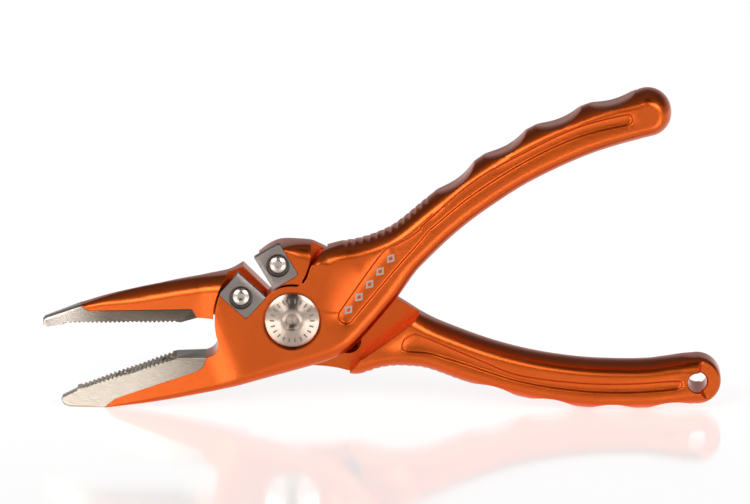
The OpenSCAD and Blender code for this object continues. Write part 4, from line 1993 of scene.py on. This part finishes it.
@dataclass
class Studio:
    """A pale glossy floor, a white surround and a camera a little above the pliers."""

    elevation: float = math.radians(13.0)
    distance: float = 3.2
    frame_width: float = 0.1894
    middle: tuple[float, float, float] = (0.02096, -0.0065, 0.0180)
    glow: float = 0.62
    near_glow: float = 0.5
    strip_way: float = 0.02

    def camera(self) -> None:
        """Adds the camera, square to the pliers' side."""
        data = bpy.data.cameras.new("camera")
        data.sensor_width = 36.0
        data.lens = 36.0 * self.distance / self.frame_width
        data.clip_start, data.clip_end = 0.01, 20.0
        camera = placed("camera", data)
        back = Vector((0.0, -math.cos(self.elevation), math.sin(self.elevation)))
        camera.location = Vector(self.middle) + back * self.distance
        camera.rotation_euler = (math.pi / 2 - self.elevation, 0.0, 0.0)
        bpy.context.scene.camera = camera

    def floor(self) -> None:
        """Adds the lit white floor."""
        size = 1.6
        mesh = bpy.data.meshes.new("floor")
        z = FLOOR_Z * MM
        mesh.from_pydata(
            [(-size, -size, z), (size, -size, z), (size, size, z), (-size, size, z)],
            [],
            [(0, 1, 2, 3)],
        )
        material, tree, shader, place = new_material(
            "white acrylic sheet", "f4f4f4", Metallic=0.3, Roughness=0.1, IOR=2.0
        )
        shader.inputs["Emission Color"].default_value = linear("ffffff")
        # The sheet is lit from below, but not where it comes forward of the pliers
        depth = add_node(tree, "ShaderNodeSeparateXYZ", {0: place}).outputs["Y"]
        glow = ranged(tree, depth, (-0.12, 0.1), (self.near_glow, self.glow), smooth=True)
        tree.links.new(glow, shader.inputs["Emission Strength"])
        haze = add_node(tree, "ShaderNodeTexNoise", {"Vector": place, "Scale": 9.0, "Detail": 2.0})
        gloss = ranged(tree, haze.outputs[0], (0.0, 1.0), (0.08, 0.12))
        tree.links.new(gloss, shader.inputs["Roughness"])
        mesh.materials.append(material)
        placed("floor", mesh)

    def lamp(
        self, name: str, at: tuple[float, float, float], size: tuple[float, float], power: float
    ) -> None:
        """Adds a soft box that looks at the pliers.

        Args:
            name: Its name.
            at: Its place in metres.
            size: Its width and height in metres.
            power: Its power in watts.
        """
        data = bpy.data.lights.new(name, "AREA")
        data.shape = "RECTANGLE"
        data.size, data.size_y = size
        data.energy = power
        lamp = placed(name, data)
        lamp.location = at
        aim = Vector((0.02, 0.0, 0.0)) - Vector(at)
        lamp.rotation_euler = aim.to_track_quat("-Z", "Y").to_euler()

    def surround(self) -> None:
        """Adds the surround: white round the horizon and darker overhead."""
        world = bpy.data.worlds.new("surround")
        bpy.context.scene.world = world
        world.use_nodes = True
        tree = world.node_tree
        way = add_node(tree, "ShaderNodeTexCoord").outputs["Generated"]
        height = add_node(tree, "ShaderNodeSeparateXYZ", {0: way})
        overhead = grey_ramp(
            tree, height.outputs["Z"], ((0.0, 0.5), (1.0, 0.28), (0.25, 0.48), (0.5, 0.32), (0.75, 0.28))
        )
        # A dark strip upright behind the camera, between the soft boxes
        side = add_node(
            tree, "ShaderNodeMath", {0: height.outputs["X"], 1: self.strip_way}, operation="SUBTRACT"
        )
        off = add_node(tree, "ShaderNodeMath", {0: side.outputs[0]}, operation="ABSOLUTE")
        aside = ranged(tree, off.outputs[0], (0.2, 0.28), (0.03, 1.0))
        ahead = ranged(tree, height.outputs["Y"], (-0.2, 0.1))
        behind = grey_ramp(
            tree, height.outputs["Z"], ((0.0, 0.5), (1.0, 0.22), (0.24, 0.5), (0.36, 0.14), (0.7, 0.1))
        )
        sky = blend(tree, ahead, overhead, behind)
        dim = add_node(tree, "ShaderNodeMath", {0: aside, 1: ahead}, operation="MAXIMUM")
        light = blend(tree, dim.outputs[0], (0.0, 0.0, 0.0, 1.0), sky)
        tree.links.new(light, tree.nodes["Background"].inputs["Color"])
        tree.nodes["Background"].inputs["Strength"].default_value = 1.0

    def build(self) -> None:
        """Sets the whole studio up."""
        self.camera()
        self.floor()
        self.surround()
        self.lamp("left soft box", (-0.47, -0.79, 0.39), (0.62, 0.45), 4.0)
        self.lamp("right soft box", (0.49, -0.8, 0.39), (0.6, 0.45), 4.0)
        bpy.context.scene.view_settings.view_transform = "Standard"


# The whole object ------------------------------------------------------------------------------


def lower_insert() -> JawInsert:
    """The insert of the front half's jaw."""
    seat = seat_line(LOWER_SEAT)
    rows = flat([[-23.9, -2.35], [-31.2, 0], [-57.4, 0], [-57.8, -0.6]]) + [
        [-61.9, -1.1, 0.15], [-62.5, -1.8, 0.3], [-62.2, -3.2, 0.45], [-61.2, -4.1, 0.55],
        [-58.3, -5.2, 0.6], [-52.6, -6.95, 0.35],
    ]
    return JawInsert(
        "lower_jaw_insert",
        Body.FRONT,
        FRONT_TILT,
        rows + seat[:0:-1],
        0.0,
        -1.0,
        -57.1,
        -31.4,
        (-45.3, -33.0),
        1.9,
        ("lower_jaw_insert",),
        ("lower_jaw_screw_tip", "lower_jaw_screw_heel"),
    )


def upper_insert() -> JawInsert:
    """The insert of the rear half's jaw."""
    seat = seat_line(UPPER_SEAT)
    rows = [
        [-53.4, 4.75, 0.35], [-58.0, 3.3, 0.6], [-62.6, 1.8, 0.6], [-63.1, 1.2, 0.4],
        [-63.1, -0.2, 0.15],
    ] + flat(
        [
            [-62.7, -0.75], [-57.9, -0.15], [-57.7, 0.1], [-28.3, 0.1], [-24, 1.25],
            [-25.3, 3.55], [-50.4, 3.3],
        ]
    )
    return JawInsert(
        "upper_jaw_insert",
        Body.REAR,
        REAR_TILT,
        rows + seat[:0:-1],
        0.1,
        1.0,
        -57.5,
        -29.0,
        (-45.3, -33.0),
        1.7,
        ("upper_jaw_insert",),
        ("upper_jaw_screw_tip", "upper_jaw_screw_heel"),
    )


def dress_small_parts(nodes: dict[str, bpy.types.Object]) -> None:
    """Gives the bearings and the spring's post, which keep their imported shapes, their finishes.

    Args:
        nodes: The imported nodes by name.
    """
    bronze = PlainMetal("oiled bronze", "a98452", 0.34).material()
    steel = PlainMetal("hardened steel pin", "a8a49e", 0.2).material()
    for name in ("nut_washer", "thrust_washer", "head_washer", "pivot_bushing", "spring_post"):
        node = nodes[name]
        for place in node.material_slots:
            place.material = steel if name == "spring_post" else bronze
        LOG.info("%s keeps its packed shape", name)


def main() -> None:
    """Builds the pliers and their studio."""
    logging.basicConfig(level=logging.INFO, format="%(name)s: %(message)s")
    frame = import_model()
    Studio().build()
    FrontHalf().build(AnodisedAluminium("anodised front half", tilt=FRONT_TILT))
    RearHalf().build(AnodisedAluminium("anodised rear half", tilt=REAR_TILT))
    polish = PlainMetal("polished stainless steel", "c4b8ae", 0.25).material()
    # Both inserts carry painted shade: their colour darkens along X from the nose towards the heel
    lower_steel = BrushedSteel(
        "ground lower jaw", "c4b8aa", tilt=FRONT_TILT, painted_shade_colour="8c8074", painted_shade_span=(-42.0, -20.0)
    )
    upper_steel = BrushedSteel(
        "ground upper jaw", "d4c8bc", tilt=REAR_TILT, painted_shade_colour="685c52", painted_shade_span=(-62.0, -46.0)
    )
    lower_insert().build(lower_steel.material(), polish)
    upper_insert().build(upper_steel.material(), polish)
    blades = (
        LineCutter(
            "plate_cutter",
            Body.FRONT,
            FRONT_TILT,
            1,
            PLATE_CUTTER_START,
            ("plate_cutter",),
            ("plate_cutter_screw",),
        ),
        LineCutter(
            "lug_cutter", Body.REAR, REAR_TILT, -1, LUG_CUTTER_START, ("lug_cutter",), ("lug_cutter_screw",)
        ),
    )
    for blade in blades:
        blade.build(GroundCarbide(f"ground {blade.name}", tilt=blade.tilt).material(), polish)
    PivotStack().build(TurnedSteel().material(), PlainMetal("etched steel", "77706a", 0.45, 0.8).material())
    PanelMarks().build(PlainMetal("bare aluminium", "b4aaa4", 0.38).material())
    ReturnSpring().build(PlainMetal("oil tempered wire", "46504f", 0.3).material())
    dress_small_parts(frame["nodes"])


if __name__ == "__main__":
    main()
